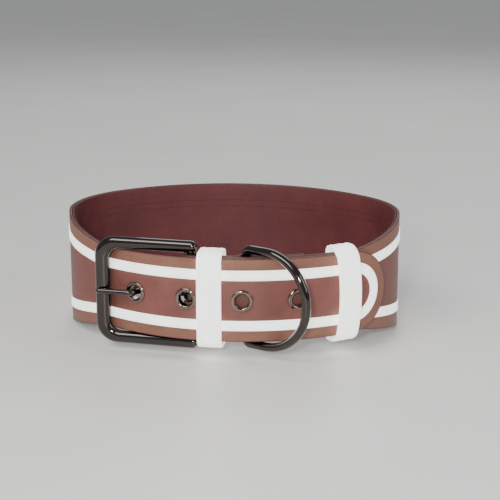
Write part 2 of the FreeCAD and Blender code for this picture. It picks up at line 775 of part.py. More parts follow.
# ---------------------------------------------------------------- bent wire
def wire_path(points, radii):
    """A path of straight runs joined by tangent arcs, one radius for each inner point."""
    edges = []
    here = points[0]
    for index in range(1, len(points) - 1):
        before = (points[index - 1] - points[index]).normalize()
        after = (points[index + 1] - points[index]).normalize()
        half_angle = before.getAngle(after) / 2
        radius = radii[index - 1]
        setback = radius / math.tan(half_angle)
        start = points[index] + before * setback
        end = points[index] + after * setback
        inward = (before + after).normalize()
        centre = points[index] + inward * (radius / math.sin(half_angle))
        middle = centre - inward * radius
        if (start - here).Length > SAME_PLACE:
            edges.append(Part.LineSegment(here, start).toShape())
        edges.append(Part.Arc(start, middle, end).toShape())
        here = end
    edges.append(Part.LineSegment(here, points[-1]).toShape())
    return Part.Wire(edges)


def wire_sweep(name, path, diameter):
    """A round wire along a path."""
    spine = feature(name + "_path", path)
    start = path.Edges[0]
    begin = start.valueAt(start.FirstParameter)
    heading = start.tangentAt(start.FirstParameter)
    section = doc.addObject("Part::Circle", name + "_section")
    section.setExpression("Radius", diameter + " / 2")
    section.Placement = FreeCAD.Placement(begin, FreeCAD.Rotation(UP, heading))
    item = doc.addObject("Part::Sweep", name)
    item.Sections = [section]
    item.Spine = (spine, [f"Edge{number}" for number in range(1, len(path.Edges) + 1)])
    item.Solid = True
    item.Frenet = False
    return item


# ---------------------------------------------------------------- prong
def frame_point(across, out):
    """A point at mid height, from the heel bar: across towards the far bar, and out."""
    return HEEL + TO_FAR * across + BUCKLE_OUT * out + UP * MIDDLE


PRONG = size("prong_diameter")
EYE_RADIUS = size("heel_bar_diameter") / 2 + size("pin_clearance") + size("prong_eye_wall")


def make_prong():
    """An eye on the heel bar, a shaft that dips under the tongue, comes up through the first eyelet
    and lies on the far bar."""
    across = (eyelet_place(0)[0] - HEEL).dot(TO_FAR)
    rest = size("buckle_thickness") / 2 + PRONG / 2 + size("pin_clearance")
    rise = size("prong_rise_run") / 2
    points = [
        frame_point(0, -size("prong_dip") / 2),
        frame_point(across - rise, -size("prong_dip")),
        frame_point(across + rise, rest),
        frame_point(size("buckle_reach") + size("prong_overhang"), rest),
    ]
    shaft = wire_sweep("prong_shaft", wire_path(points, [PRONG, PRONG]), "Sizes.prong_diameter")
    tip = doc.addObject("Part::Sphere", "prong_tip")
    tip.setExpression("Radius", "Sizes.prong_diameter / 2")
    # the tip's own axis lies along the shaft, so its equator is the shaft's end
    tip.Placement = FreeCAD.Placement(points[-1], FreeCAD.Rotation(UP, TO_FAR))
    bore_diameter = "Sizes.heel_bar_diameter + 2 * Sizes.pin_clearance"
    eye_diameter = bore_diameter + " + 2 * Sizes.prong_eye_wall"
    eye_height = f"Sizes.prong_diameter * {PRONG_EYE_SHARE}"
    low = HEEL + UP * (MIDDLE - PRONG * PRONG_EYE_SHARE / 2)
    lower = low - UP * PRONG
    eye = round_bar("prong_eye", eye_diameter, eye_height, FreeCAD.Placement(low, FreeCAD.Rotation()))
    solid = together("Part::MultiFuse", "prong_whole", [shaft, tip, eye])
    hole_height = "Sizes.prong_diameter * 4"
    bore = round_bar("prong_bore", bore_diameter, hole_height, FreeCAD.Placement(lower, FreeCAD.Rotation()))
    return cut("buckle_prong", solid, bore)


prong = make_prong()


# ---------------------------------------------------------------- leash ring
RING_HALF = size("tongue_width") / 2 + size("ring_clearance") + size("ring_wire") / 2


def ring_lean():
    """How far the ring leans out from the strap at its bar.

    Where its arc has used up half its clearance to the tongue's edge, the middle of the wire is
    already a quarter of its diameter outside the tongue.
    """
    drop = math.sqrt(RING_HALF**2 - (RING_HALF - size("ring_clearance") / 2) ** 2)
    reach = size("ring_leg") + drop
    needed = TONGUE_OUT + size("ring_wire") / 4
    return corner_angle(RING_BAR.Length, reach, needed) - math.pi / 2


def make_ring():
    """A D of round wire: a straight bar in the fold, two legs and a half circle over the tongue."""
    lean = ring_lean()
    away = along(RING_BEARING) * math.cos(lean) + outward(RING_BEARING) * math.sin(lean)
    half = RING_HALF
    middle = RING_BAR + UP * MIDDLE
    corner = size("ring_corner")
    leg = size("ring_leg")

    def at(distance, level):
        return middle + away * distance + UP * level

    slope = corner * (1 - math.sqrt(0.5))
    edges = [
        Part.LineSegment(at(0, -half + corner), at(0, half - corner)).toShape(),
        Part.Arc(at(0, half - corner), at(slope, half - slope), at(corner, half)).toShape(),
        Part.LineSegment(at(corner, half), at(leg, half)).toShape(),
        Part.Arc(at(leg, half), at(leg + half, 0), at(leg, -half)).toShape(),
        Part.LineSegment(at(leg, -half), at(corner, -half)).toShape(),
        Part.Arc(at(corner, -half), at(slope, -half + slope), at(0, -half + corner)).toShape(),
    ]
    return wire_sweep("d_ring", Part.Wire(edges), "Sizes.ring_wire")


ring = make_ring()


# ---------------------------------------------------------------- keepers
def runs_across(level):
    """A test for the edges along a keeper's width at a level above or below its middle."""

    def test(edge):
        box = edge.BoundBox
        straight = box.YLength < SAME_LEVEL and box.ZLength < SAME_LEVEL
        return straight and abs(abs(box.ZMin) - level) < SAME_SPOT

    return test


def make_keeper(name, place, deepest):
    """A flat loop round the strap and the tongue; deepest is how far in from the line it must clear."""
    body = doc.addObject("PartDesign::Body", name)
    bearing = place / FRONT
    half_width = size("keeper_width") / 2
    radius_out = TONGUE_OUT + size("eyelet_height") + size("keeper_gap")
    radius_in = FRONT - deepest - size("keeper_gap") - sagitta(FRONT, half_width)
    depth = f"{radius_out - radius_in:.6g}"
    level = "(Sizes.tongue_width / 2 + Sizes.keeper_edge_gap)"
    wall = "Sizes.keeper_wall"
    front_face = depth + " + " + wall
    top_face = level + " + " + wall
    low_face = "-" + level + " - " + wall
    back_face = "-" + wall
    outer_sketch = outline(body, name + "_outline", "YZ_Plane", [
        (back_face, low_face), (front_face, low_face), (front_face, top_face), (back_face, top_face),
    ])
    pad = body.newObject("PartDesign::Pad", name + "_pad")
    pad.Profile = outer_sketch
    pad.setExpression("Length", "Sizes.keeper_width")
    pad.SideType = "Symmetric"
    body.Tip = pad
    doc.recompute()
    inner_sketch = outline(body, name + "_inside", "YZ_Plane", [
        ("0", "-" + level), (depth, "-" + level), (depth, level), ("0", level),
    ])
    pocket = body.newObject("PartDesign::Pocket", name + "_pocket")
    pocket.Profile = inner_sketch
    pocket.Type = "ThroughAll"
    pocket.SideType = "Symmetric"
    body.Tip = pocket
    doc.recompute()
    half_window = size("tongue_width") / 2 + size("keeper_edge_gap")
    outside = edges_where(pocket.Shape, runs_across(half_window + size("keeper_wall")))
    step = rounded(body, pocket, name + "_bends", outside, KEEPER_BEND)
    inside = edges_where(step.Shape, runs_across(half_window))
    rounded(body, step, name + "_inner_bends", inside, KEEPER_INNER_BEND)
    base = outward(bearing) * radius_in + UP * MIDDLE
    turn = FreeCAD.Rotation(along(bearing) * -1, outward(bearing), UP, "ZYX")
    body.Placement = FreeCAD.Placement(base, turn)
    return body


def fold_depth():
    """How far in from the strap's line the fold and its rivet caps reach inside the front keeper."""
    near_edge = (size("front_keeper_place") - size("keeper_width") / 2) / FRONT
    return max(CAP_SEAT + size("rivet_cap_thickness"), FRONT - fold_inside(near_edge))


front_keeper = make_keeper("keeper_front", size("front_keeper_place"), fold_depth())
rear_keeper = make_keeper("keeper_rear", size("rear_keeper_place"), STRAP / 2)

# ---------------------------------------------------------------- names, place and checks
NODES = [strap_outer, strap_lining, tape_upper, tape_lower, tape_end]
NODES += [buckle, prong, ring, front_keeper, rear_keeper]
NODES += eyelets + rivets
doc.recompute()


def whole_box(items):
    """The exact box round several objects."""
    box = FreeCAD.BoundBox()
    for item in items:
        box.add(item.Shape.optimalBoundingBox(False, True))
    return box


def settle(items):
    """Stand the collar on z = 0 with the middle of its box over the origin."""
    box = whole_box(items)
    shift = Vector(-box.Center.x, -box.Center.y, -box.ZMin)
    for item in items:
        item.Placement = FreeCAD.Placement(shift, FreeCAD.Rotation()).multiply(item.Placement)
    doc.recompute()
    return shift


def check(items):
    """Stop if any object failed or any piece is not one or more sound solids."""
    for item in doc.Objects:
        if "Invalid" in item.State or "Error" in item.State:
            raise RuntimeError(f"{item.Name} failed: {item.State}")
    for item in items:
        if item.Shape.isNull() or not item.Shape.isValid() or not item.Shape.Solids:
            raise RuntimeError(f"{item.Name} has no sound solid")


SHIFT = settle(NODES)
check(NODES)
for item in NODES:
    item.Label = item.Name
    item.Shape.exportStep(f"parts/{item.Label}.step")

box = whole_box(NODES)
print(f"{len(NODES)} pieces, box {box.XLength:.2f} x {box.YLength:.2f} x {box.ZLength:.2f} mm")
print(f"strap line {LINE_LENGTH:.1f} mm, neck {LINE_LENGTH - size('tip_place') + size('heel_place'):.1f} mm")


def place_text(label, point):
    spot = point + SHIFT
    print(f"{label}: ({spot.x:.4f}, {spot.y:.4f}, {spot.z:.4f}) mm")


place_text("front centre", Vector())
place_text("heel bar", HEEL + UP * MIDDLE)
place_text("far bar", FAR_BAR + UP * MIDDLE)
place_text("ring bar", RING_BAR + UP * MIDDLE)
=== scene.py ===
# %% [markdown]
# # A reflective dog collar
# This lesson finishes a collar whose sizes and joints are already settled. The frame brings in the plain
# solids, the bodies that move and the joints. Every piece that is made here takes its place from that frame.

# %% Load the frame
import json
import math
import bmesh
import bpy
import numpy as np
from mathutils import Matrix, Vector


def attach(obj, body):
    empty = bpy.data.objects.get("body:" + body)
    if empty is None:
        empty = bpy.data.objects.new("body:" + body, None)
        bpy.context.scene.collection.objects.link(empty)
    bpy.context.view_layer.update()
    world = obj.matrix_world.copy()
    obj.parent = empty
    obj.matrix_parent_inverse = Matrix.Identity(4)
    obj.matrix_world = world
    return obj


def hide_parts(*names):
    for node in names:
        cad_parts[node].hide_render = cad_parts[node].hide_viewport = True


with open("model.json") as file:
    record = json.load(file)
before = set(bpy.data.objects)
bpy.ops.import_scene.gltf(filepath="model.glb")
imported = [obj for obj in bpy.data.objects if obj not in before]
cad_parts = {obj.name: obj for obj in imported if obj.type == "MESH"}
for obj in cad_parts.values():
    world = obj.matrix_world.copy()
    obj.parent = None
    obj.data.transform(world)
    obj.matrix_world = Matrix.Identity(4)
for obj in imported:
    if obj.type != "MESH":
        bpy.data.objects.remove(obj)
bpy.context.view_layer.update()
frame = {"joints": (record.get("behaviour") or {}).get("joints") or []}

# %% [markdown]
# ## The sizes
# A strap maker thinks in millimetres along the strap: how wide it is, how thick its two layers are, where it
# narrows and where the holes go. The same numbers are named here once. The three points that everything hangs
# from are the pivots of the joints, so they are read from the frame and not typed in again.

# %% Sizes of the strap, in millimetres
MM = 0.001
pivots = {joint["name"]: Vector(joint["pos_m"]) / MM for joint in frame["joints"]}
front_centre = np.array(pivots["keeper_slide"][:2])
heel_bar = np.array(pivots["buckle_hinge"][:2])
ring_bar = np.array(pivots["ring_hinge"][:2])
mid_height = pivots["buckle_hinge"].z

front_radius = 90.0
side_radius = 46.0
corner = math.radians(45)
outer_ply = 1.4
lining_ply = 1.1
strap = outer_ply + lining_ply
tape = 0.35
lap = strap + tape + 0.15
body_half = 28.0
tongue_half = 19.0
heel_place = -12.0
ring_place = 13.4
tip_place = 83.0
fold_end_place = 40.0
fold_bend = 4.0
pin_gap = 0.08
heel_reach = 2.0 + pin_gap
ring_wire = 4.1
ring_reach = ring_wire / 2 + pin_gap
buckle_end = 79.0
taper = 44.0
tongue_length = 141.0
print("heel bar at", np.round(heel_bar, 2), "ring bar at", np.round(ring_bar, 2))

# %% [markdown]
# ## The line that the strap follows
# Seen from above, the strap is a smooth oval that winds round until its end lies over its beginning. It is
# drawn as arcs that share their tangents, with a short hook at the start: there the outer leather turns round
# two metal bars and comes back on the inside. One curve carries it all, so every layer bends alike.

# %% Arcs of the line
def outward(bearing):
    return np.array([math.sin(bearing), -math.cos(bearing)])


def arc_points(centre, radius, start, end, step):
    """Points on an arc between two bearings, both ends included."""
    count = max(2, int(abs(end - start) * radius / step) + 1)
    return [centre + outward(bearing) * radius for bearing in np.linspace(start, end, count)]


def bearing_of(vector):
    return math.atan2(vector[0], -vector[1])


def short_arc(centre, radius, towards_start, towards_end, step):
    """The short way round a centre, between two directions."""
    start = bearing_of(towards_start)
    turn = (bearing_of(towards_end) - start + math.pi) % (2 * math.pi) - math.pi
    return arc_points(centre, radius, start, start + turn, step)


def main_arcs():
    """Centre, radius and the two bearings of each arc, from the heel bar to the tip of the tongue."""
    half_lap = lap / 2
    right = front_centre + outward(corner) * (front_radius - side_radius)
    back = right + outward(math.pi - corner) * (side_radius - front_radius - half_lap)
    left = back + outward(math.pi + corner) * (front_radius - side_radius)
    beyond = tip_place - (front_radius + lap) * corner
    full = 2 * math.pi
    return [
        (front_centre, front_radius, heel_place / front_radius, corner),
        (right, side_radius, corner, math.pi - corner),
        (back, front_radius + half_lap, math.pi - corner, math.pi + corner),
        (left, side_radius + half_lap, math.pi + corner, full - corner),
        (front_centre, front_radius + lap, full - corner, full + corner),
        (right, side_radius + lap, full + corner, full + corner + beyond / (side_radius + lap)),
    ]


def blend_angle(bar, reach):
    """How far to each side of a bar, as a bearing, the leather comes back against the lining."""
    lining_radius = front_radius - strap / 2
    here = np.linalg.norm(bar - front_centre)
    there = lining_radius - fold_bend
    return math.acos((here**2 + there**2 - (reach + fold_bend) ** 2) / (2 * here * there))


arcs = main_arcs()
arc_lengths = [radius * (end - start) for _, radius, start, end in arcs]
line_length = sum(arc_lengths)
tongue_start = line_length - tongue_length
tongue_front = sum(arc_lengths[:4]) + (front_radius + lap) * corner
print("strap line", round(line_length, 1), "mm, tongue starts at", round(tongue_start, 1))

# %% The hook at the start, then the whole line
skin = strap / 2 - outer_ply


def fold_points():
    """The strap's line from the end of the fold, over the ring's bar and round the heel bar."""
    inside = -skin
    run_radius = front_radius - strap / 2 - inside
    heel_bearing = heel_place / front_radius
    ring_bearing = ring_place / front_radius
    heel_blend = heel_bearing + blend_angle(heel_bar, heel_reach)
    ring_low = ring_bearing - blend_angle(ring_bar, ring_reach)
    ring_high = ring_bearing + blend_angle(ring_bar, ring_reach)
    blend_radius = front_radius - strap / 2 - fold_bend
    centres = [front_centre + outward(b) * blend_radius for b in (heel_blend, ring_low, ring_high)]
    fine = 0.3
    heel_left = -np.array([math.cos(heel_bearing), math.sin(heel_bearing)])
    bend = fold_bend - inside
    runs = [
        arc_points(front_centre, run_radius, fold_end_place / front_radius, ring_high, 1.0),
        short_arc(centres[2], bend, outward(ring_high), ring_bar - centres[2], fine),
        short_arc(ring_bar, ring_reach + inside, centres[2] - ring_bar, centres[1] - ring_bar, fine),
        short_arc(centres[1], bend, ring_bar - centres[1], outward(ring_low), fine),
        arc_points(front_centre, run_radius, ring_low, heel_blend, 1.0),
        short_arc(centres[0], bend, outward(heel_blend), heel_bar - centres[0], fine),
        short_arc(heel_bar, heel_reach + inside, centres[0] - heel_bar, heel_left, fine),
        short_arc(heel_bar, heel_reach + inside, heel_left, outward(heel_bearing), fine),
    ]
    return [point for run in runs for point in run]


def without_repeats(points):
    kept = [points[0]]
    for point in points[1:]:
        if np.linalg.norm(point - kept[-1]) > 0.02:
            kept.append(point)
    return np.array(kept)


fold = without_repeats(fold_points())
main = without_repeats([p for c, radius, start, end in arcs for p in arc_points(c, radius, start, end, 0.7)])
line = without_repeats(list(fold) + list(main))
steps = np.linalg.norm(np.diff(line, axis=0), axis=1)
line_distance = np.concatenate([[0], np.cumsum(steps)])
hook = float(line_distance[len(fold) - 1])
print("hook", round(hook, 1), "mm, whole line", round(float(line_distance[-1]), 1), "mm")


# %% The line as a curve object, and how to find a place on it
def placed(name, data):
    """A new object that is in the scene."""
    item = bpy.data.objects.new(name, data)
    bpy.context.scene.collection.objects.link(item)
    return item


def polyline(name, points):
    """A curve object through plan points, in metres, at the middle height of the strap."""
    data = bpy.data.curves.new(name, "CURVE")
    data.dimensions = "3D"
    spline = data.splines.new("POLY")
    spline.points.add(len(points) - 1)
    for point, place in zip(spline.points, points):
        point.co = (place[0] * MM, place[1] * MM, mid_height * MM, 1)
    return placed(name, data)


def on_line(distance, out=0.0, level=0.0):
    """A point in millimetres at a distance past the heel bar, with the outward direction there."""
    place = distance + hook
    near = (place, place + 0.4, place - 0.4)
    here, ahead, behind = np.stack([np.interp(near, line_distance, line[:, axis]) for axis in (0, 1)], axis=1)
    tangent = (ahead - behind) / np.linalg.norm(ahead - behind)
    away = np.array([tangent[1], -tangent[0]])
    spot = here + away * out
    return np.array([spot[0], spot[1], mid_height + level]), np.array([away[0], away[1], 0.0])


strap_line = polyline("strap_line", line)
print("tip of the tongue at", np.round(on_line(line_length)[0], 1))

# %% [markdown]
# ## Meshes from cross-sections
# Most pieces of a collar are drawn-out shapes: a section that runs along something. A loft joins a row of
# sections with four-sided faces. It is quick, its faces are even, and rounded edges come with the section.


# %% Loft, finish and measure
def loft(name, sections, closed=False):
    """A mesh through sections of equal count; open ones are capped. Sizes in millimetres."""
    rings = np.array(sections, float)
    count, size, _ = rings.shape
    vertices = rings.reshape(-1, 3) * MM
    faces = []
    for ring in range(count if closed else count - 1):
        here = ring * size
        there = ((ring + 1) % count) * size
        for side in range(size):
            after = (side + 1) % size
            faces.append((here + side, here + after, there + after, there + side))
    if not closed:
        faces.append(tuple(range(size)))
        faces.append(tuple(reversed(range((count - 1) * size, count * size))))
    mesh = bpy.data.meshes.new(name)
    mesh.from_pydata(vertices.tolist(), [], faces)
    return tidy_mesh(placed(name, mesh))


def tidy_mesh(item):
    """Merge doubled points and turn every face outwards."""
    shell = bmesh.new()
    shell.from_mesh(item.data)
    bmesh.ops.remove_doubles(shell, verts=shell.verts, dist=1e-6)
    bmesh.ops.recalc_face_normals(shell, faces=shell.faces)
    shell.to_mesh(item.data)
    shell.free()
    return item


def soften(item, degrees=35):
    """Smooth shading that keeps edges sharper than an angle."""
    item.data.shade_smooth()
    item.data.set_sharp_from_angle(angle=math.radians(degrees))
    return item


def joined(name, items):
    """Several objects as one."""
    whole = bmesh.new()
    for item in items:
        whole.from_mesh(item.data)
    mesh = bpy.data.meshes.new(name)
    whole.to_mesh(mesh)
    whole.free()
    for item in items:
        bpy.data.objects.remove(item)
    return placed(name, mesh)


def dress(item, material):
    item.data.materials.clear()
    item.data.materials.append(material)
    return item


def report(item):
    corners = np.array([vertex.co for vertex in item.data.vertices]) / MM
    print(item.name, len(item.data.polygons), "faces", corners.min(0).round(1), corners.max(0).round(1))
    return item


# %% [markdown]
# ## Finishes
# Five finishes cover the collar: coated leather, its softer lining, white reflective tape, dark polished
# plating and thread. Each one is a small network of nodes, so the grain and the wear keep their true size.
# Some light is painted in: the tape and the white thread glow, the outer leather is lighter near its edges
# from the tape's glow, and the lining's red carries painted shade.


# %% Helpers for materials
def finish(name, colour, roughness, metallic=0.0):
    """A material with its principled shader, ready for more nodes."""
    material = bpy.data.materials.new(name)
    material.use_nodes = True
    shader = material.node_tree.nodes["Principled BSDF"]
    shader.inputs["Base Color"].default_value = (*colour, 1)
    shader.inputs["Roughness"].default_value = roughness
    shader.inputs["Metallic"].default_value = metallic
    return material, material.node_tree, shader


def add(tree, kind, inputs=None, **settings):
    """A node with its settings; an input takes a number, or a socket that is joined to it."""
    node = tree.nodes.new(kind)
    for key, value in settings.items():
        setattr(node, key, value)
    for key, value in (inputs or {}).items():
        if isinstance(value, bpy.types.NodeSocket):
            tree.links.new(value, node.inputs[key])
        else:
            node.inputs[key].default_value = value
    return node


def where(tree, attribute=None):
    """The place that a pattern reads: the piece's own flat pattern, or its object coordinates."""
    if attribute:
        return add(tree, "ShaderNodeAttribute", attribute_name=attribute).outputs["Vector"]
    return add(tree, "ShaderNodeTexCoord").outputs["Object"]


def noise(tree, place, scale, detail=3.0, rough=0.5):
    inputs = {"Scale": scale, "Detail": detail, "Roughness": rough, "Vector": place}
    return add(tree, "ShaderNodeTexNoise", inputs).outputs["Fac"]


def cells(tree, place, scale):
    return add(tree, "ShaderNodeTexVoronoi", {"Scale": scale, "Vector": place}).outputs["Distance"]


def ramp(tree, value, stops):
    node = add(tree, "ShaderNodeValToRGB", {"Fac": value})
    for element, (position, colour) in zip(node.color_ramp.elements, stops):
        element.position = position
        element.color = (*colour, 1)
    return node.outputs["Color"]


def dyed(tree, value, colour, low, high, dark, light):
    """A colour that a pattern makes darker in some places and lighter in others."""
    shades = [tuple(c * share for c in colour) for share in (dark, light)]
    return ramp(tree, value, list(zip((low, high), shades)))


def span(tree, value, low, high, to_low=0.0, to_high=1.0):
    inputs = {"Value": value, "From Min": low, "From Max": high, "To Min": to_low, "To Max": to_high}
    return add(tree, "ShaderNodeMapRange", inputs).outputs["Result"]


def mixed(tree, share, first, second):
    """Two colours mixed by a share; a colour may be a socket or three numbers."""
    first, second = [(*colour, 1) if isinstance(colour, tuple) else colour for colour in (first, second)]
    inputs = {0: share, 6: first, 7: second}
    return add(tree, "ShaderNodeMix", inputs, data_type="RGBA", blend_type="MIX").outputs[2]


def bump(tree, shader, height, distance, strength=1.0, before=None):
    """A relief of a given depth in metres on the shader's normal."""
    inputs = {"Strength": strength, "Distance": distance, "Height": height}
    if before:
        inputs["Normal"] = before
    normal = add(tree, "ShaderNodeBump", inputs).outputs["Normal"]
    tree.links.new(normal, shader.inputs["Normal"])
    return normal


# %% Leather and lining
def leather(name, body, margin_glow, edge, grain, roughness):
    """Coated leather: pebbled grain, cloudy dye, lighter near the edges from painted glow of the tape, and a
    dark painted edge.
    """
    material, tree, shader = finish(name, body, roughness)
    place = where(tree, "pattern")
    rim = add(tree, "ShaderNodeAttribute", attribute_name="edge_mm").outputs["Fac"]
    cloud = noise(tree, place, 55.0, 4.0, 0.6)
    middle = dyed(tree, cloud, body, 0.30, 0.70, 0.80, 1.16)
    painted_glow = dyed(tree, cloud, margin_glow, 0.30, 0.70, 0.84, 1.14)
    # Lighter towards the edges: painted glow of the tape on the leather, not a colour of its own.
    coloured = mixed(tree, span(tree, rim, 3.0, 12.5), painted_glow, middle)
    worn = span(tree, noise(tree, place, 420.0, 5.0, 0.7), 0.55, 0.75, 0.0, 0.55)
    coloured = mixed(tree, worn, coloured, tuple(c * 0.72 for c in body))
    painted = mixed(tree, span(tree, rim, 0.15, 0.75), edge, coloured)
    uneven = span(tree, cloud, 0.3, 0.7, roughness - 0.07, roughness + 0.09)
    tree.links.new(painted, shader.inputs["Base Color"])
    tree.links.new(uneven, shader.inputs["Roughness"])
    shader.inputs["Specular IOR Level"].default_value = 0.42
    first = bump(tree, shader, cells(tree, place, grain), 0.00010, 0.55)
    bump(tree, shader, noise(tree, place, 900.0, 4.0, 0.65), 0.00012, 0.35, first)
    return material


# tan is the painted glow of the tape on the outer leather's edges.
brown_red, tan, dark_edge = (0.168, 0.057, 0.046), (0.205, 0.090, 0.060), (0.075, 0.026, 0.022)
outer_leather = leather("coated_leather", brown_red, tan, dark_edge, 1500.0, 0.46)
# The lining's dark red is partly its own colour and partly painted shade of the ring's inside; its edges get
# the same faint painted glow.
wine_and_shade, wine_margin_glow, wine_edge = (0.098, 0.019, 0.021), (0.102, 0.021, 0.022), (0.060, 0.015, 0.015)
lining_leather = leather("lining_leather", wine_and_shade, wine_margin_glow, wine_edge, 1100.0, 0.62)
print("leathers:", outer_leather.name, lining_leather.name)


# %% Tape, thread and plating
def reflective(name):
    """White tape full of tiny glass beads: it throws light straight back, so a painted glow in its emission
    stands in for that light.
    """
    material, tree, shader = finish(name, (0.93, 0.93, 0.915), 0.42)
    place = where(tree, "pattern")
    soil = noise(tree, place, 90.0, 4.0, 0.6)
    white = ramp(tree, soil, [(0.28, (0.86, 0.86, 0.84)), (0.60, (0.95, 0.95, 0.935))])
    tree.links.new(white, shader.inputs["Base Color"])
    # Painted glow: the tape's white also feeds its emission, so it shines though it is no lamp.
    tree.links.new(white, shader.inputs["Emission Color"])
    shader.inputs["Emission Strength"].default_value = 1.3
    shader.inputs["Sheen Weight"].default_value = 0.25
    first = bump(tree, shader, cells(tree, place, 2600.0), 0.00006, 0.5)
    weave = add(tree, "ShaderNodeTexWave", {"Scale": 330.0, "Vector": place}, bands_direction="X")
    bump(tree, shader, weave.outputs["Fac"], 0.00004, 0.5, first)
    return material


def plating(name, colour, roughness):
    """Polished plating with fine hairlines and a cloudy breath of handling."""
    material, tree, shader = finish(name, colour, roughness, 1.0)
    place = where(tree)
    cloud = noise(tree, place, 130.0, 4.0, 0.6)
    uneven = span(tree, cloud, 0.3, 0.75, roughness * 0.75, roughness * 1.5)
    tree.links.new(dyed(tree, cloud, colour, 0.3, 0.7, 0.82, 1.12), shader.inputs["Base Color"])
    tree.links.new(uneven, shader.inputs["Roughness"])
    shader.inputs["Coat Weight"].default_value = 0.8
    shader.inputs["Coat Roughness"].default_value = 0.05
    bump(tree, shader, noise(tree, place, 1400.0, 3.0, 0.6), 0.00001, 0.35)
    return material


def thread_finish(name, colour, glow):
    """Twisted thread: its strands show in the colour and the relief; a glow above zero is painted glow."""
    material, tree, shader = finish(name, colour, 0.62)
    strands = noise(tree, where(tree), 2600.0, 2.0, 0.5)
    tree.links.new(dyed(tree, strands, colour, 0.3, 0.7, 0.8, 1.0), shader.inputs["Base Color"])
    shader.inputs["Emission Strength"].default_value = glow
    shader.inputs["Emission Color"].default_value = (*colour, 1)
    bump(tree, shader, strands, 0.00008, 0.6)
    return material


glowing_tape_finish = reflective("reflective_tape")
dark_nickel = plating("dark_nickel", (0.040, 0.031, 0.027), 0.11)
eyelet_nickel = plating("eyelet_nickel", (0.185, 0.132, 0.102), 0.12)
# The white thread gets painted glow to shine with the tape.
glowing_white_thread = thread_finish("glowing_white_thread", (0.88, 0.88, 0.86), 1.0)
red_thread = thread_finish("red_thread", (0.070, 0.013, 0.015), 0.0)
print("finishes made:", len(bpy.data.materials))

# %% [markdown]
# ## Node trees
# Three small Geometry Nodes trees do the repeated and the bent work. The first bends a flat pattern piece
# round the strap's line, as the maker bends a flat strap. The second sews: it walks along a row and lays a
# stitch at every pitch. The third sets hardware: the same metal part at every marked point.


# %% Building a tree
def new_tree(name, inputs):
    """A node tree with a geometry in, a geometry out and named inputs between."""
    tree = bpy.data.node_groups.new(name, "GeometryNodeTree")
    tree.interface.new_socket("Geometry", in_out="INPUT", socket_type="NodeSocketGeometry")
    for label, kind in inputs:
        tree.interface.new_socket(label, in_out="INPUT", socket_type="NodeSocket" + kind)
    tree.interface.new_socket("Geometry", in_out="OUTPUT", socket_type="NodeSocketGeometry")
    return tree, add(tree, "NodeGroupInput").outputs


def close_tree(tree, start, geometry):
    """Every tree ends with real geometry and its material."""
    real = add(tree, "GeometryNodeRealizeInstances", {"Geometry": geometry}).outputs["Geometry"]
    paint = add(tree, "GeometryNodeSetMaterial", {"Geometry": real, "Material": start["Material"]})
    add(tree, "NodeGroupOutput", {"Geometry": paint.outputs["Geometry"]})
    return tree


def plain_mesh(item):
    """Keep what an object's modifiers make of it as its own mesh."""
    bpy.context.view_layer.update()
    seen = item.evaluated_get(bpy.context.evaluated_depsgraph_get())
    mesh = bpy.data.meshes.new_from_object(seen)
    item.modifiers.clear()
    item.data = mesh
    return item


def run_tree(item, tree, **values):
    """Put an object through a tree."""
    modifier = item.modifiers.new("shape", "NODES")
    modifier.node_group = tree
    for socket in tree.interface.items_tree:
        if socket.in_out == "INPUT" and socket.name in values:
            modifier[socket.identifier] = values[socket.name]
    return plain_mesh(item)


def vector_math(tree, operation, first, second=None):
    inputs = {0: first}
    if second is not None:
        inputs[3 if operation == "SCALE" else 1] = second
    return add(tree, "ShaderNodeVectorMath", inputs, operation=operation).outputs["Vector"]


# %% The tree that bends a flat piece round the line
def bending_tree():
    """Along the flat piece is X, across it is Y and its thickness is Z."""
    tree, start = new_tree("Bend round the line", [("Line", "Object"), ("Material", "Material")])
    info = add(tree, "GeometryNodeObjectInfo", {"Object": start["Line"]}, transform_space="ORIGINAL")
    flat = add(tree, "GeometryNodeInputPosition").outputs["Position"]
    keep = {"Geometry": start["Geometry"], "Name": "pattern", "Value": flat}
    kept = add(tree, "GeometryNodeStoreNamedAttribute", keep, data_type="FLOAT_VECTOR", domain="POINT")
    parts = add(tree, "ShaderNodeSeparateXYZ", {"Vector": flat}).outputs
    walk = add(tree, "GeometryNodeSampleCurve", mode="LENGTH", use_all_curves=True)
    tree.links.new(info.outputs["Geometry"], walk.inputs["Curves"])
    tree.links.new(parts["X"], walk.inputs["Length"])
    sideways = vector_math(tree, "CROSS_PRODUCT", walk.outputs["Tangent"], (0, 0, 1))
    out = vector_math(tree, "SCALE", vector_math(tree, "NORMALIZE", sideways), parts["Z"])
    up = add(tree, "ShaderNodeCombineXYZ", {"Z": parts["Y"]}).outputs["Vector"]
    spot = vector_math(tree, "ADD", vector_math(tree, "ADD", walk.outputs["Position"], out), up)
    move = add(tree, "GeometryNodeSetPosition", {"Geometry": kept.outputs["Geometry"], "Position": spot})
    return close_tree(tree, start, move.outputs["Geometry"])


bend_tree = bending_tree()
print("tree:", bend_tree.name, len(bend_tree.nodes), "nodes")


# %% The trees that sew and that set hardware
def facing_turn(tree, along=None):
    """A turn that stands Z on each point's facing and, for thread, lays X along the row."""
    facing = add(tree, "GeometryNodeInputNamedAttribute", {"Name": "facing"}, data_type="FLOAT_VECTOR")
    stand = {"Vector": facing.outputs["Attribute"]}
    stood = add(tree, "FunctionNodeAlignRotationToVector", stand, axis="Z").outputs["Rotation"]
    if along is None:
        return stood
    lay = {"Rotation": stood, "Vector": along}
    return add(tree, "FunctionNodeAlignRotationToVector", lay, axis="X", pivot_axis="Z").outputs["Rotation"]


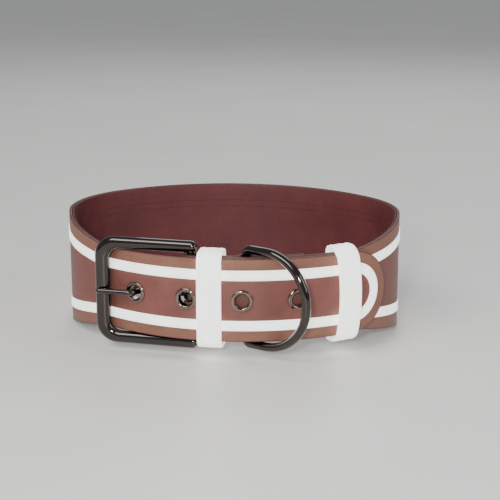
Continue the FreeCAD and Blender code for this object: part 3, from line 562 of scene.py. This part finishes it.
def sewing_tree():
    """A stitch at every pitch along rows of edges."""
    names = [("Pitch", "Float"), ("Stitch", "Vector"), ("Material", "Material")]
    tree, start = new_tree("Sew along rows", names)
    curve = add(tree, "GeometryNodeMeshToCurve", {"Mesh": start["Geometry"]}).outputs["Curve"]
    walk = add(tree, "GeometryNodeResampleCurve", mode="LENGTH")
    tree.links.new(curve, walk.inputs["Curve"])
    tree.links.new(start["Pitch"], walk.inputs["Length"])
    bead = add(tree, "GeometryNodeMeshUVSphere", {"Segments": 8, "Rings": 5, "Radius": 0.5})
    tangent = add(tree, "GeometryNodeInputTangent").outputs["Tangent"]
    stitches = add(tree, "GeometryNodeInstanceOnPoints", {
        "Points": walk.outputs["Curve"],
        "Instance": bead.outputs["Mesh"],
        "Rotation": facing_turn(tree, tangent),
        "Scale": start["Stitch"],
    })
    return close_tree(tree, start, stitches.outputs["Instances"])


def hardware_tree():
    """One metal part, stood on every marked point."""
    tree, start = new_tree("Set hardware", [("Part", "Object"), ("Material", "Material")])
    part = add(tree, "GeometryNodeObjectInfo", {"Object": start["Part"]}, transform_space="ORIGINAL")
    copies = add(tree, "GeometryNodeInstanceOnPoints", {
        "Points": start["Geometry"],
        "Instance": part.outputs["Geometry"],
        "Rotation": facing_turn(tree),
    })
    return close_tree(tree, start, copies.outputs["Instances"])


sew_tree = sewing_tree()
set_tree = hardware_tree()
print("trees:", [group.name for group in bpy.data.node_groups])


# %% Rows and marks that the trees read
def marked(name, rows, facings):
    """An object of points joined in rows, each with the direction that it faces. Millimetres."""
    vertices = [tuple(np.array(point) * MM) for row in rows for point in row]
    edges = []
    first = 0
    for row in rows:
        edges += [(first + index, first + index + 1) for index in range(len(row) - 1)]
        first += len(row)
    mesh = bpy.data.meshes.new(name)
    mesh.from_pydata(vertices, edges, [])
    facing = mesh.attributes.new("facing", "FLOAT_VECTOR", "POINT")
    flat = [number for row in facings for direction in row for number in direction]
    facing.data.foreach_set("vector", flat)
    return placed(name, mesh)


# %% [markdown]
# ## The strap
# The real strap is cut flat from two layers: 56 mm wide round the neck, 38 mm at the buckle and the tongue,
# with a round tip. A flat loft with rounded edges gives the same piece, and its holes are cut while it is
# flat. Then the bending tree lays it round the line, which keeps the holes round, as a punch does.


# %% The outline of the strap
def half_width(distance):
    """Half of the strap's width at a distance past the heel bar."""
    grow = (body_half - tongue_half) / taper
    if distance < buckle_end:
        return tongue_half
    if distance < buckle_end + taper:
        return tongue_half + grow * (distance - buckle_end)
    if distance < tongue_start - taper:
        return body_half
    if distance < tongue_start:
        return tongue_half + grow * (tongue_start - distance)
    beyond = distance - (line_length - tongue_half)
    if beyond > 0:
        return math.sqrt(max(tongue_half**2 - beyond**2, 0.0))
    return tongue_half


def stations(first, last):
    """Distances for the sections: close together in the fold and at the round tip."""
    places = list(np.arange(first, min(8.0, last), 0.45)) if first < 0 else []
    tip_from = line_length - tongue_half
    places += list(np.arange(max(first, 8.0), tip_from, 2.0))
    turns = np.linspace(0, math.pi / 2, 26)
    places += [tip_from + tongue_half * math.sin(turn) for turn in turns]
    return [place for place in places if place < last - 0.004] + [last - 0.004]


def slab(half, low, high, rounding, columns=15):
    """A flat section with rounded edges: across it, and through its thickness."""
    curve = min(rounding, (high - low) / 2 * 0.98, half * 0.9)
    edge = half - curve
    quarter = [(curve * math.sin(turn), curve * math.cos(turn)) for turn in np.linspace(0, math.pi / 2, 5)]
    upper = [(across, high) for across in np.linspace(-edge, edge, columns)]
    upper += [(edge + side, high - curve + rise) for side, rise in quarter[1:]]
    upper += [(edge + side, low + curve - rise) for rise, side in quarter[:-1]]
    return upper + [(-across, low + high - depth) for across, depth in upper]


def flat_piece(name, first, last, low, high, inset, rounding):
    """A flat pattern piece of the strap between two distances and two offsets from the line."""
    sections = []
    for distance in stations(first, last):
        section = slab(max(half_width(distance) - inset, 0.05), low, high, rounding)
        sections.append([(distance + hook, across, depth) for across, depth in section])
    return loft(name, sections)


# %% Punches for the holes
eyelet_places = [tongue_front - 38.0 + 25.0 * index for index in range(5)]
rivet_places = [(place - heel_place, level) for place in (-0.6, 28.0) for level in (10.0, -10.0)]
through = (-3.0, 4.0)


def cutter(outline, depths):
    """A cutter with a flat outline, between two depths."""
    return loft("cutter", [[(x + hook, y, depth) for x, y in outline] for depth in depths])


def punch(distance, across, radius, depths=through):
    """A round cutter through the flat piece."""
    turns = np.linspace(0, 2 * math.pi, 48, endpoint=False)
    return cutter([(distance + radius * math.cos(t), across + radius * math.sin(t)) for t in turns], depths)


def chop(first, last, half):
    """A square-ended cutter through the flat piece, for the prong's slot."""
    return cutter([(first, -half), (last, -half), (last, half), (first, half)], through)


def cut_out(item, cutters):
    """Take cutters from a piece with an exact boolean, then drop the cutters."""
    tool = joined("cutters", cutters)
    tidy_mesh(tool)
    modifier = item.modifiers.new("cut", "BOOLEAN")
    modifier.operation = "DIFFERENCE"
    modifier.solver = "EXACT"
    modifier.object = tool
    plain_mesh(item)
    bpy.data.objects.remove(tool)
    return item


def edge_distance(item):
    """Tell every point how far it lies inside the strap's edge, for the painted glow near the edges and the
    edge paint.
    """
    mesh = item.data
    pattern = np.zeros(len(mesh.vertices) * 3)
    mesh.attributes["pattern"].data.foreach_get("vector", pattern)
    pattern = pattern.reshape(-1, 3) / MM
    inside = []
    for along, across, _ in pattern:
        distance = along - hook
        tip = distance - (line_length - tongue_half)
        if tip > 0:
            inside.append(tongue_half - math.hypot(tip, across))
        else:
            inside.append(half_width(distance) - abs(across))
    edge = mesh.attributes.new("edge_mm", "FLOAT", "POINT")
    edge.data.foreach_set("value", np.maximum(inside, 0.0))
    return item


# %% The outer leather, with its fold
outer_face = strap / 2
ply_joint = outer_face - outer_ply
edge_rounding = 0.42
eyelet_hole = 3.52
rivet_seat, rivet_seat_radius = 0.6, 3.95
slot_reach, slot_half = 9.2, 2.7
heel_along = np.array([math.cos(heel_place / front_radius), math.sin(heel_place / front_radius)])
hook_places = np.arange(-24.0, 0.0, 0.1)
slot_from = next(d for d in hook_places if (on_line(d)[0][:2] - heel_bar).dot(heel_along) < slot_reach)
print("slot from", round(float(slot_from), 1), "to", slot_reach)
outer_span = (-hook + 0.01, line_length)
outer_flat = flat_piece("strap_outer_cover", *outer_span, ply_joint, outer_face, 0.0, edge_rounding)
cutters = [punch(place, 0.0, eyelet_hole) for place in eyelet_places]
cutters += [punch(place, level, rivet_seat_radius, (rivet_seat, through[1])) for place, level in rivet_places]
cutters += [chop(slot_from, slot_reach, slot_half)]
outer_flat = cut_out(outer_flat, cutters)
outer_cover = run_tree(outer_flat, bend_tree, Line=strap_line, Material=outer_leather)
report(soften(edge_distance(outer_cover), 40))

# %% The lining
lining_from = blend_angle(heel_bar, heel_reach) * front_radius + 0.3
lining_inset = 0.25
lining_flat = flat_piece(
    "strap_lining_cover", lining_from, line_length, -outer_face, ply_joint, lining_inset, edge_rounding)
lining_flat = cut_out(lining_flat, [punch(place, 0.0, eyelet_hole) for place in eyelet_places])
lining_cover = run_tree(lining_flat, bend_tree, Line=strap_line, Material=lining_leather)
report(soften(edge_distance(lining_cover), 40))

# %% [markdown]
# ## The reflective tape
# One length of tape runs along the upper edge, turns round the tip of the tongue and comes back along the
# lower edge; on the wide body it keeps a little further in. Its path is drawn on the flat pattern, a thin
# crowned section follows it, and the bending tree lays it on the leather.

# %% The tape's path on the flat strap
tape_width = 4.6
tape_inset = 5.2 + tape_width / 2
body_tape_inset = 7.7 + tape_width / 2


def tape_level(distance):
    """How far from the middle of the strap the tape's own middle runs."""
    half = half_width(distance)
    share = (half - tongue_half) / (body_half - tongue_half)
    return half - tape_inset - (body_tape_inset - tape_inset) * share


def tape_path(first):
    """Points along, across: out on the upper side, round the tip, back on the lower side."""
    tip_from = line_length - tongue_half
    runs = [(distance, tape_level(distance)) for distance in np.arange(first, tip_from, 2.0)]
    turn_radius = tongue_half - tape_inset
    turns = np.linspace(math.pi / 2, -math.pi / 2, 41)
    tip = [(tip_from + turn_radius * math.cos(turn), turn_radius * math.sin(turn)) for turn in turns]
    return runs + tip + [(along, -across) for along, across in reversed(runs)]


def side_steps(path):
    """The direction to the left of a flat path at each of its points."""
    points = np.array(path)
    tangent = np.gradient(points, axis=0)
    tangent /= np.linalg.norm(tangent, axis=1)[:, None]
    return points, np.stack([-tangent[:, 1], tangent[:, 0]], axis=1)


def mirrored(right, centre):
    """A profile from its right side and its middle point, mirrored to the left."""
    return [(-across, depth) for across, depth in reversed(right)] + centre + right


def tape_sections(path, width, low, high):
    """A thin section, crowned between its two sewn lines."""
    points, side = side_steps(path)
    half = width / 2
    right = [(half * 0.45, high), (half - 0.7, high - 0.10), (half - 0.15, high - 0.02), (half, high - 0.12)]
    profile = mirrored(right + [(half, low)], [(0, high + 0.03)])
    rings = []
    for (along, across), (step_x, step_y) in zip(points, side):
        rings.append([(along + hook + step_x * s, across + step_y * s, depth) for s, depth in profile])
    return rings


path = tape_path(buckle_end + 1.0)
tape_flat = loft("tape_cover", tape_sections(path, tape_width, outer_face, outer_face + tape))
tape_cover = run_tree(tape_flat, bend_tree, Line=strap_line, Material=glowing_tape_finish)
report(soften(tape_cover, 50))

# %% [markdown]
# ## The sewing
# Two rows of white thread hold the tape, one near each of its edges, and the same rows show on the lining in
# a dark red thread. The rows are drawn flat, sewn by the sewing tree and bent with the rest.

# %% Rows of thread
stitch_pitch = 3.1
stitch_size = (2.45 * MM, 0.5 * MM, 0.26 * MM)
stitch_sink = 0.02
sewn_at = tape_width / 2 - 0.7


def sewn_rows(name, path, depth, material):
    """Two rows of thread along a flat path, bent with the strap."""
    points, side = side_steps(path)
    rows = []
    for offset in (-sewn_at, sewn_at):
        shifted = points + side * offset
        rows.append([(along + hook, across, depth) for along, across in shifted])
    item = marked(name, rows, [[(0, 0, 1)] * len(row) for row in rows])
    run_tree(item, sew_tree, Pitch=stitch_pitch * MM, Stitch=stitch_size, Material=material)
    run_tree(item, bend_tree, Line=strap_line, Material=material)
    item.data.shade_smooth()
    return report(item)


thread = sewn_rows("tape_thread", path, outer_face + tape - stitch_sink, glowing_white_thread)
back_path = [point for point in path if buckle_end + 4 < point[0] < line_length]
back_thread = sewn_rows("lining_thread", back_path, -outer_face - stitch_sink, red_thread)

# %% [markdown]
# ## Eyelets and rivets
# Turned metal parts are a profile spun round an axis: the eyelet's rolled flange and barrel, its washer on
# the lining, the rivets that close the fold. One of each is spun, and the setting tree stands the copies.


# %% Spinning a profile
def turned(name, profile, count=40):
    """A closed profile of radius and height, spun round the Z axis. Millimetres."""
    rings = []
    for turn in np.linspace(0, 2 * math.pi, count, endpoint=False):
        across, beside = math.cos(turn), math.sin(turn)
        rings.append([(radius * across, radius * beside, height) for radius, height in profile])
    return loft(name, rings, closed=True)


def rolled(inner, outer, thick, count=9):
    """The rolled top of a flange, from its bore over the crown to its rim."""
    turns = np.linspace(math.pi, 0, count)
    middle, half = (inner + outer) / 2, (outer - inner) / 2
    return [(middle + half * math.cos(t), thick * math.sin(t) ** 0.75) for t in turns]


def set_parts(name, profile, spots, out):
    """Spin a part and stand it on spots of the strap, at an offset from the line."""
    part = turned("part", profile)
    marks = [on_line(distance, out, level) for distance, level in spots]
    item = marked(name, [[spot] for spot, _ in marks], [[away] for _, away in marks])
    run_tree(item, set_tree, Part=part, Material=eyelet_nickel)
    bpy.data.objects.remove(part)
    return report(soften(item, 40))


# %% Eyelets, washers and the rivets through the fold
eyelet_spots = [(place, 0.0) for place in eyelet_places]
barrel = [(3.5, -2.6), (3.2, -2.6)]
eyelet_profile = barrel + rolled(3.2, 5.0, 0.8) + [(5.0, 0.0), (3.5, 0.0)]
washer_profile = [(3.6, 0.0), (4.6, 0.0), (4.6, -0.22), (4.4, -0.36), (3.7, -0.36), (3.6, -0.25)]
post_profile = [(0.0, -3.9), (1.5, -3.9), (1.5, 0.0), (3.8, 0.0), (3.7, 0.28), (3.3, 0.44), (0.0, 0.5)]
cap_profile = [(0.0, 0.0), (3.8, 0.0), (3.75, -0.3), (3.2, -0.62), (2.2, -0.8), (1.0, -0.88), (0.0, -0.9)]
eyelets = set_parts("eyelets", eyelet_profile, eyelet_spots, outer_face)
washers = set_parts("eyelet_washers", washer_profile, eyelet_spots, -outer_face - 0.02)
posts = set_parts("rivet_posts", post_profile, rivet_places, 0.66)
caps = set_parts("rivet_caps", cap_profile, rivet_places, -2.73)

# %% [markdown]
# ## The buckle
# The frame is cast: a flat U with soft, nearly oval sections, wide corners and a round bar between the ends
# of its arms. Two outlines, one outside and one inside, are matched point for point, and an oval section is
# strung between each pair. The result is even, and it shines without dents.

# %% The buckle's place
buckle_reach = 42.0
buckle_thick = 4.8
far_width = 6.8
arm_width = 5.6
arm_inside = tongue_half + 0.4
arm_outside = arm_inside + arm_width
lie_gap, rounding = 0.35, 2.1
far_half = math.hypot(far_width / 2 - rounding, buckle_thick / 2 - rounding) + rounding
far_out = front_radius + lap + strap / 2 + tape + lie_gap + far_half
heel_from_centre = heel_bar - front_centre
heel_distance = np.linalg.norm(heel_from_centre)
spread = math.acos((heel_distance**2 + far_out**2 - buckle_reach**2) / (2 * heel_distance * far_out))
far_bar = front_centre + outward(heel_place / front_radius - spread) * far_out
to_far = (far_bar - heel_bar) / np.linalg.norm(far_bar - heel_bar)
buckle_out = np.array([-to_far[1], to_far[0]])
if buckle_out.dot(outward(heel_place / front_radius)) < 0:
    buckle_out = -buckle_out


def in_buckle(across, level, out):
    """A point from the heel bar: across to the far bar, up, and out."""
    spot = heel_bar + to_far * across + buckle_out * out
    return (spot[0], spot[1], mid_height + level)


# %% The buckle's frame
def corner_run(centre, radius, count=14):
    turns = np.linspace(0, math.pi / 2, count)
    return [(centre[0] + radius * math.sin(turn), centre[1] + radius * math.cos(turn)) for turn in turns]


def outline_half(end, side, radius):
    """From the toe of the upper arm, along it, round the corner and down to the middle of the far bar."""
    arm = [(across, side) for across in np.linspace(0.0, end - radius, 12, endpoint=False)]
    bar = [(end, level) for level in np.linspace(side - radius, 0, 9)][1:]
    return arm + corner_run((end - radius, side - radius), radius) + bar


def oval(first, second, half_thick, power=2.1, count=24):
    """A soft box section between two points of the outlines."""
    middle = (np.array(first) + np.array(second)) / 2
    half = (np.array(second) - np.array(first)) / 2
    ring = []
    for turn in np.linspace(0, 2 * math.pi, count, endpoint=False):
        across = math.copysign(abs(math.cos(turn)) ** (2 / power), math.cos(turn))
        out = math.copysign(abs(math.sin(turn)) ** (2 / power), math.sin(turn))
        spot = middle + half * across
        ring.append(in_buckle(spot[0], spot[1], half_thick * out))
    return ring


outer_half = outline_half(buckle_reach + far_width / 2, arm_outside, 9.5)
inner_half = outline_half(buckle_reach - far_width / 2, arm_inside, 5.0)
toe_middle = (arm_inside + arm_outside) / 2
upper = []
for turn in np.linspace(0.12, math.pi / 2, 8)[:-1]:
    back = -arm_width / 2 * math.cos(turn)
    reach = arm_width / 2 * math.sin(turn)
    upper.append(((back, toe_middle + reach), (back, toe_middle - reach), math.sin(turn) ** 0.5))
upper += [(first, second, 1.0) for first, second in zip(outer_half, inner_half)]
lower = [((a[0], -a[1]), (b[0], -b[1]), share) for a, b, share in reversed(upper[:-1])]
frame_rings = [oval(first, second, buckle_thick / 2 * share) for first, second, share in upper + lower]
buckle_loop = loft("buckle_loop", frame_rings)
print("buckle sections:", len(frame_rings))


# %% The heel bar, and the frame finished
def round_section(point, across, beside, radius, count):
    turns = np.linspace(0, 2 * math.pi, count, endpoint=False)
    return [point + (across * math.cos(t) + beside * math.sin(t)) * radius for t in turns]


def rod(name, path_points, radius, round_ends=True):
    """A round bar through points; its ends may be domed."""
    points = np.array(path_points, float)
    tangents = np.gradient(points, axis=0)
    tangents /= np.linalg.norm(tangents, axis=1)[:, None]
    across = np.cross(tangents[0], (0.36, 0.48, 0.8))
    rings = []
    for point, tangent in zip(points, tangents):
        across = across - tangent * across.dot(tangent)
        across /= np.linalg.norm(across)
        rings.append(round_section(point, across, np.cross(tangent, across), radius, 20))
    if round_ends:
        rings = domed(rings, points, tangents, radius)
    return loft(name, rings)


def domed(rings, points, tangents, radius):
    """Round off both ends of a bar."""
    turns = np.linspace(0.15, math.pi / 2, 6)[:-1]
    first, last = np.array(rings[0]), np.array(rings[-1])
    steps = [(math.sin(turn), radius * math.cos(turn)) for turn in turns]
    head = [points[0] + (first - points[0]) * share - tangents[0] * reach for share, reach in steps]
    tail = [points[-1] + (last - points[-1]) * share + tangents[-1] * reach for share, reach in steps[::-1]]
    return head + rings + tail


heel_radius = 2.0
heel_track = [in_buckle(0.0, level, 0.0) for level in np.linspace(-toe_middle, toe_middle, 24)]
heel_rod = rod("heel_rod", heel_track, heel_radius, round_ends=False)
buckle_cover = dress(joined("buckle_cover", [buckle_loop, heel_rod]), dark_nickel)
report(soften(buckle_cover, 45))

# %% [markdown]
# ## The prong
# The prong is one bent rod with an eye that turns on the heel bar. It runs under the tongue, comes up through
# the first eyelet and rests on the far bar. Its bends are arcs, as a rod bent round a pin has.


# %% Bending a rod
def bent(points, radius, step=0.4):
    """Points along straight runs joined by arcs."""
    corners = [np.array(point, float) for point in points]
    track = [corners[0]]
    for index in range(1, len(corners) - 1):
        before, after = [side / np.linalg.norm(side) for side in (
            corners[index - 1] - corners[index], corners[index + 1] - corners[index])]
        half = math.acos(max(-1.0, min(1.0, before.dot(after)))) / 2
        setback = radius / math.tan(half)
        start, end = corners[index] + before * setback, corners[index] + after * setback
        bisector = (before + after) / np.linalg.norm(before + after)
        centre = corners[index] + bisector * radius / math.sin(half)
        swing = math.pi - 2 * half
        for share in np.linspace(0, 1, max(4, int(swing * radius / step) + 2)):
            arm = (start - centre) * math.sin((1 - share) * swing) + (end - centre) * math.sin(share * swing)
            track.append(centre + arm / math.sin(swing))
    track.append(corners[-1])
    dense = [track[0]]
    for point in track[1:]:
        start = dense[-1]
        count = max(1, int(np.linalg.norm(point - start) / 1.5))
        dense += [start + (point - start) * (index / count) for index in range(1, count + 1)]
    apart = [True] + [np.linalg.norm(after - before) > 1e-3 for before, after in zip(dense, dense[1:])]
    return np.array([point for point, is_new in zip(dense, apart) if is_new])


first_eyelet = on_line(eyelet_places[0])[0][:2]
eyelet_across = (first_eyelet - heel_bar).dot(to_far)
prong_radius = 1.3
prong_rest = buckle_thick / 2 + prong_radius + pin_gap
prong_dip, half_rise, prong_overhang = 2.5, 2.8, 0.8
prong_flat = [
    (0, -prong_dip / 2),
    (eyelet_across - half_rise, -prong_dip),
    (eyelet_across + half_rise, prong_rest),
    (buckle_reach + prong_overhang, prong_rest),
]
prong_track = bent([in_buckle(across, 0.0, out) for across, out in prong_flat], 2 * prong_radius)
shaft = rod("prong_shaft", prong_track[3:], prong_radius)

# %% The eye of the prong
eye_low = [(2.08, -1.3), (2.35, -1.56), (3.2, -1.56), (3.48, -1.3)]
eye = turned("prong_eye", eye_low + [(radius, -height) for radius, height in reversed(eye_low)])
eye.data.transform(Matrix.Translation(Vector((*heel_bar, mid_height)) * MM))
prong_cover = dress(joined("prong_cover", [shaft, eye]), dark_nickel)
report(soften(prong_cover, 45))

# %% [markdown]
# ## The leash ring
# A D of round wire. Its straight side lies in the fold, its round side stands out over the tongue. It is a
# rod on a closed path, so it needs no ends.

# %% The D-ring
ring_clearance = 0.7
ring_half = tongue_half + ring_clearance + ring_wire / 2
ring_leg = 10.0
ring_corner = 2.5
drop = math.sqrt(ring_half**2 - (ring_half - ring_clearance / 2) ** 2)
bar_distance = np.linalg.norm(ring_bar - front_centre)
lean_reach = ring_leg + drop
needed = front_radius + lap + strap / 2 + ring_wire / 4
lean_share = (bar_distance**2 + lean_reach**2 - needed**2) / (2 * bar_distance * lean_reach)
lean = math.acos(lean_share) - math.pi / 2
ring_bearing = ring_place / front_radius
along_ring = np.array([math.cos(ring_bearing), math.sin(ring_bearing)])
ring_away = along_ring * math.cos(lean) + outward(ring_bearing) * math.sin(lean)


def in_ring(distance, level):
    spot = ring_bar + ring_away * distance
    return np.array([spot[0], spot[1], mid_height + level])


def ring_path():
    """Half of the D above the middle, then the same below it."""
    upper = [(0.0, level) for level in np.linspace(0, ring_half - ring_corner, 12)]
    turns = np.linspace(0, math.pi / 2, 9)[1:]
    middle = (ring_corner, ring_half - ring_corner)
    upper += [(middle[0] - ring_corner * math.cos(t), middle[1] + ring_corner * math.sin(t)) for t in turns]
    upper += [(distance, ring_half) for distance in np.linspace(ring_corner, ring_leg, 6)[1:]]
    turns = np.linspace(math.pi / 2, 0, 34)[1:]
    upper += [(ring_leg + ring_half * math.cos(t), ring_half * math.sin(t)) for t in turns]
    return upper + [(distance, -level) for distance, level in reversed(upper[1:-1])]


def closed_rod(name, points, radius, flat_normal):
    """A round bar on a closed flat path."""
    points = np.array(points)
    tangents = np.roll(points, -1, axis=0) - np.roll(points, 1, axis=0)
    tangents /= np.linalg.norm(tangents, axis=1)[:, None]
    rings = []
    for point, tangent in zip(points, tangents):
        rings.append(round_section(point, flat_normal, np.cross(tangent, flat_normal), radius, 24))
    return loft(name, rings, closed=True)


ring_normal = np.array([-ring_away[1], ring_away[0], 0.0])
ring_cover = closed_rod("d_ring_cover", [in_ring(*spot) for spot in ring_path()], ring_wire / 2, ring_normal)
report(soften(dress(ring_cover, dark_nickel), 60))

# %% [markdown]
# ## The keepers
# A keeper is a flat loop of webbing wrapped in the reflective tape. It goes round the strap and the tongue,
# so its corners are soft and its front swells over the eyelets. One is sewn fast beside the buckle, and the
# other slides and bows out more. A closed loft makes the loop, and two rows of thread run round it.

# %% The outline of a keeper
keeper_width = 11.0
keeper_wall = 1.8
keeper_half = keeper_width / 2
keeper_level = tongue_half + 1.3 + keeper_wall / 2
keeper_front = front_radius + lap + strap / 2 + 0.8 + 0.35 + keeper_wall / 2


def rounded_loop(behind, soft, count=9):
    """Points and outward directions round the loop, in a plane: out, and up. It starts behind."""
    tight = keeper_wall + 0.3
    middle = (behind + keeper_front) / 2
    corners = [
        (behind, keeper_level, math.pi, tight),
        (keeper_front, keeper_level, math.pi / 2, soft),
        (keeper_front, -keeper_level, 0.0, soft),
        (behind, -keeper_level, -math.pi / 2, tight),
    ]
    points = []
    for out, up, first, radius in corners:
        centre_out = out - math.copysign(radius, out - middle)
        centre_up = up - math.copysign(radius, up)
        for turn in np.linspace(first, first - math.pi / 2, count):
            points.append((centre_out + radius * math.cos(turn), centre_up + radius * math.sin(turn), turn))
    return points


def dense_loop(loop, step=1.6):
    """The same loop with even points on its straight runs, and the length walked to each."""
    full, walked = [], 0.0
    for (out, up, turn), (next_out, next_up, _) in zip(loop, loop[1:] + loop[:1]):
        gap = math.hypot(next_out - out, next_up - up)
        for share in np.linspace(0, 1, max(1, int(gap / step)) + 1)[:-1]:
            spot = (out + (next_out - out) * share, up + (next_up - up) * share)
            full.append((*spot, turn, walked + gap * share))
        walked += gap
    return full


# %% Keeper loops with their thread
keeper_side = [(keeper_half - 2.2, 0.80), (keeper_half - 1.0, 0.86)]
keeper_side += [(keeper_half - 0.25, 0.78), (keeper_half, 0.45), (keeper_half, -0.55)]
keeper_profile = mirrored(keeper_side, [(0.0, 0.93)])
keeper_profile += [(keeper_half - 0.35, -0.88), (-keeper_half + 0.35, -0.88)]
keeper_stitch = (2.2 * MM, 0.5 * MM, 0.30 * MM)
thread_across, thread_depth = keeper_half - 1.6, 0.84


def keeper(name, place, inside, soft, swell):
    """One keeper at a place on the front of the ring, with the thread round it."""
    bearing = place / front_radius
    along = np.array([math.cos(bearing), math.sin(bearing), 0.0])
    away = np.array([*outward(bearing), 0.0])
    base = np.array([*front_centre, mid_height])
    rings, pattern, facings, threads = [], [], [], [[], []]
    for out, up, turn, walked in dense_loop(rounded_loop(inside - keeper_wall / 2, soft)):
        normal = away * math.cos(turn) + np.array([0, 0, 1.0]) * math.sin(turn)
        puff = swell * max(0.0, math.cos(turn)) * (1 - (up / keeper_level) ** 2)
        spot = base + away * (out + puff) + np.array([0, 0, up])
        rings.append([spot + along * across + normal * depth for across, depth in keeper_profile])
        pattern += [(walked, across, depth) for across, depth in keeper_profile]
        facings.append(tuple(normal))
        for row, across in zip(threads, (-thread_across, thread_across)):
            row.append(spot + along * across + normal * thread_depth)
    body = loft(name, rings, closed=True)
    flat = body.data.attributes.new("pattern", "FLOAT_VECTOR", "POINT")
    flat.data.foreach_set("vector", (np.array(pattern) * MM).ravel())
    # The keeper's tape carries the tape's painted glow.
    dress(body, glowing_tape_finish)
    sewing = marked(name + "_thread", threads, [facings, facings])
    run_tree(sewing, sew_tree, Pitch=2.9 * MM, Stitch=keeper_stitch, Material=glowing_white_thread)
    sewing.data.shade_smooth()
    return report(soften(body, 50)), report(sewing)


front_keeper, front_thread = keeper("keeper_front_cover", -2.0, 85.85, soft=3.6, swell=0.7)
rear_keeper, rear_thread = keeper("keeper_rear_cover", 57.0, 88.23, soft=4.4, swell=3.6)

# %% [markdown]
# ## What each piece rides on
# Every piece names the body that it moves with and the plain solids that it stands for. The strap, its tape,
# thread, eyelets and rivets stay still. The buckle, the prong, the ring and the loose keeper have joints.

# %% Ride and replace
def numbered(name, count):
    return [f"{name}_{number}" for number in range(1, count + 1)]


rides = [
    (outer_cover, "collar", "strap_leather", ["strap_outer"]),
    (lining_cover, "collar", "lining_leather", ["strap_lining"]),
    (tape_cover, "collar", "reflective_tape", ["tape_upper", "tape_lower", "tape_tip"]),
    (thread, "collar", "reflective_tape", []),
    (back_thread, "collar", "lining_leather", []),
    (eyelets, "collar", "eyelet_metal", numbered("eyelet", 5)),
    (washers, "collar", "eyelet_metal", numbered("eyelet_washer", 5)),
    (posts, "collar", "eyelet_metal", numbered("rivet_post", 4)),
    (caps, "collar", "eyelet_metal", numbered("rivet_cap", 4)),
    (front_keeper, "collar", "reflective_tape", ["keeper_front"]),
    (front_thread, "collar", "reflective_tape", []),
    (rear_keeper, "loose_keeper", "reflective_tape", ["keeper_rear"]),
    (rear_thread, "loose_keeper", "reflective_tape", []),
    (buckle_cover, "buckle", "dark_nickel", ["buckle_frame"]),
    (prong_cover, "prong", "dark_nickel", ["buckle_prong"]),
    (ring_cover, "leash_ring", "dark_nickel", ["d_ring"]),
]
for piece, body, slot_name, solids in rides:
    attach(piece, body)
    if solids:
        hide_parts(*solids)
bpy.data.objects.remove(strap_line)
print(len(rides), "pieces ride")

# %% [markdown]
# ## Floor, light and camera
# A plain pale floor, one large soft light from above and the front, weaker ones from the side and the back, a
# small bright one in front and a pale sky keep the whites clean and draw crisp lines on the dark plating.


# %% Floor
def floor(half=4.0):
    mesh = bpy.data.meshes.new("floor")
    corners = [(-half, -half, 0), (half, -half, 0), (half, half, 0), (-half, half, 0)]
    mesh.from_pydata(corners, [], [(0, 1, 2, 3)])
    material, tree, shader = finish("pale_floor", (0.80, 0.79, 0.77), 0.45)
    cloud = noise(tree, where(tree), 9.0, 3.0, 0.5)
    shades = ramp(tree, cloud, [(0.2, (0.76, 0.75, 0.735)), (0.8, (0.83, 0.82, 0.805))])
    tree.links.new(shades, shader.inputs["Base Color"])
    return dress(placed("floor", mesh), material)


floor()


# %% Lights
aim = Vector((0.0, 0.0, 0.03))
warm, cool = (1.0, 0.98, 0.95), (0.95, 0.97, 1.0)


def soft_light(name, place, size, power, colour=warm):
    """A rectangular light that faces the collar."""
    data = bpy.data.lights.new(name, "AREA")
    data.shape = "RECTANGLE"
    data.size, data.size_y = size
    data.energy = power
    data.color = colour
    item = placed(name, data)
    item.location = place
    item.rotation_euler = (aim - Vector(place)).to_track_quat("-Z", "Y").to_euler()


soft_light("key", (-0.45, -0.85, 0.95), (0.8, 0.6), 11.0)
soft_light("fill", (0.95, -0.35, 0.55), (0.6, 0.6), 4.0, cool)
soft_light("front", (0.02, -0.75, 0.30), (0.07, 0.07), 3.4)
soft_light("back", (0.1, 0.9, 0.8), (0.9, 0.4), 4.0)
world = bpy.data.worlds.new("studio")
world.use_nodes = True
sky = world.node_tree.nodes["Background"]
sky.inputs["Color"].default_value = (0.80, 0.82, 0.85, 1)
sky.inputs["Strength"].default_value = 0.42
bpy.context.scene.world = world

# %% Camera
azimuth, elevation = math.radians(-8.25), math.radians(14.34)
distance_off = 0.620
level_look = Vector((math.sin(azimuth), math.cos(azimuth), 0.0))
look = level_look * math.cos(elevation) - Vector((0.0, 0.0, math.sin(elevation)))
target = Vector((0.00812, 0.00358, 0.0356))
camera_data = bpy.data.cameras.new("camera")
camera_data.sensor_width = 36.0
camera_data.lens = 92.1
camera_data.clip_start = 0.01
camera = placed("camera", camera_data)
camera.location = target - look * distance_off
camera.rotation_euler = look.to_track_quat("-Z", "Y").to_euler()
bpy.context.scene.camera = camera
print("camera at", [round(value, 3) for value in camera.location])
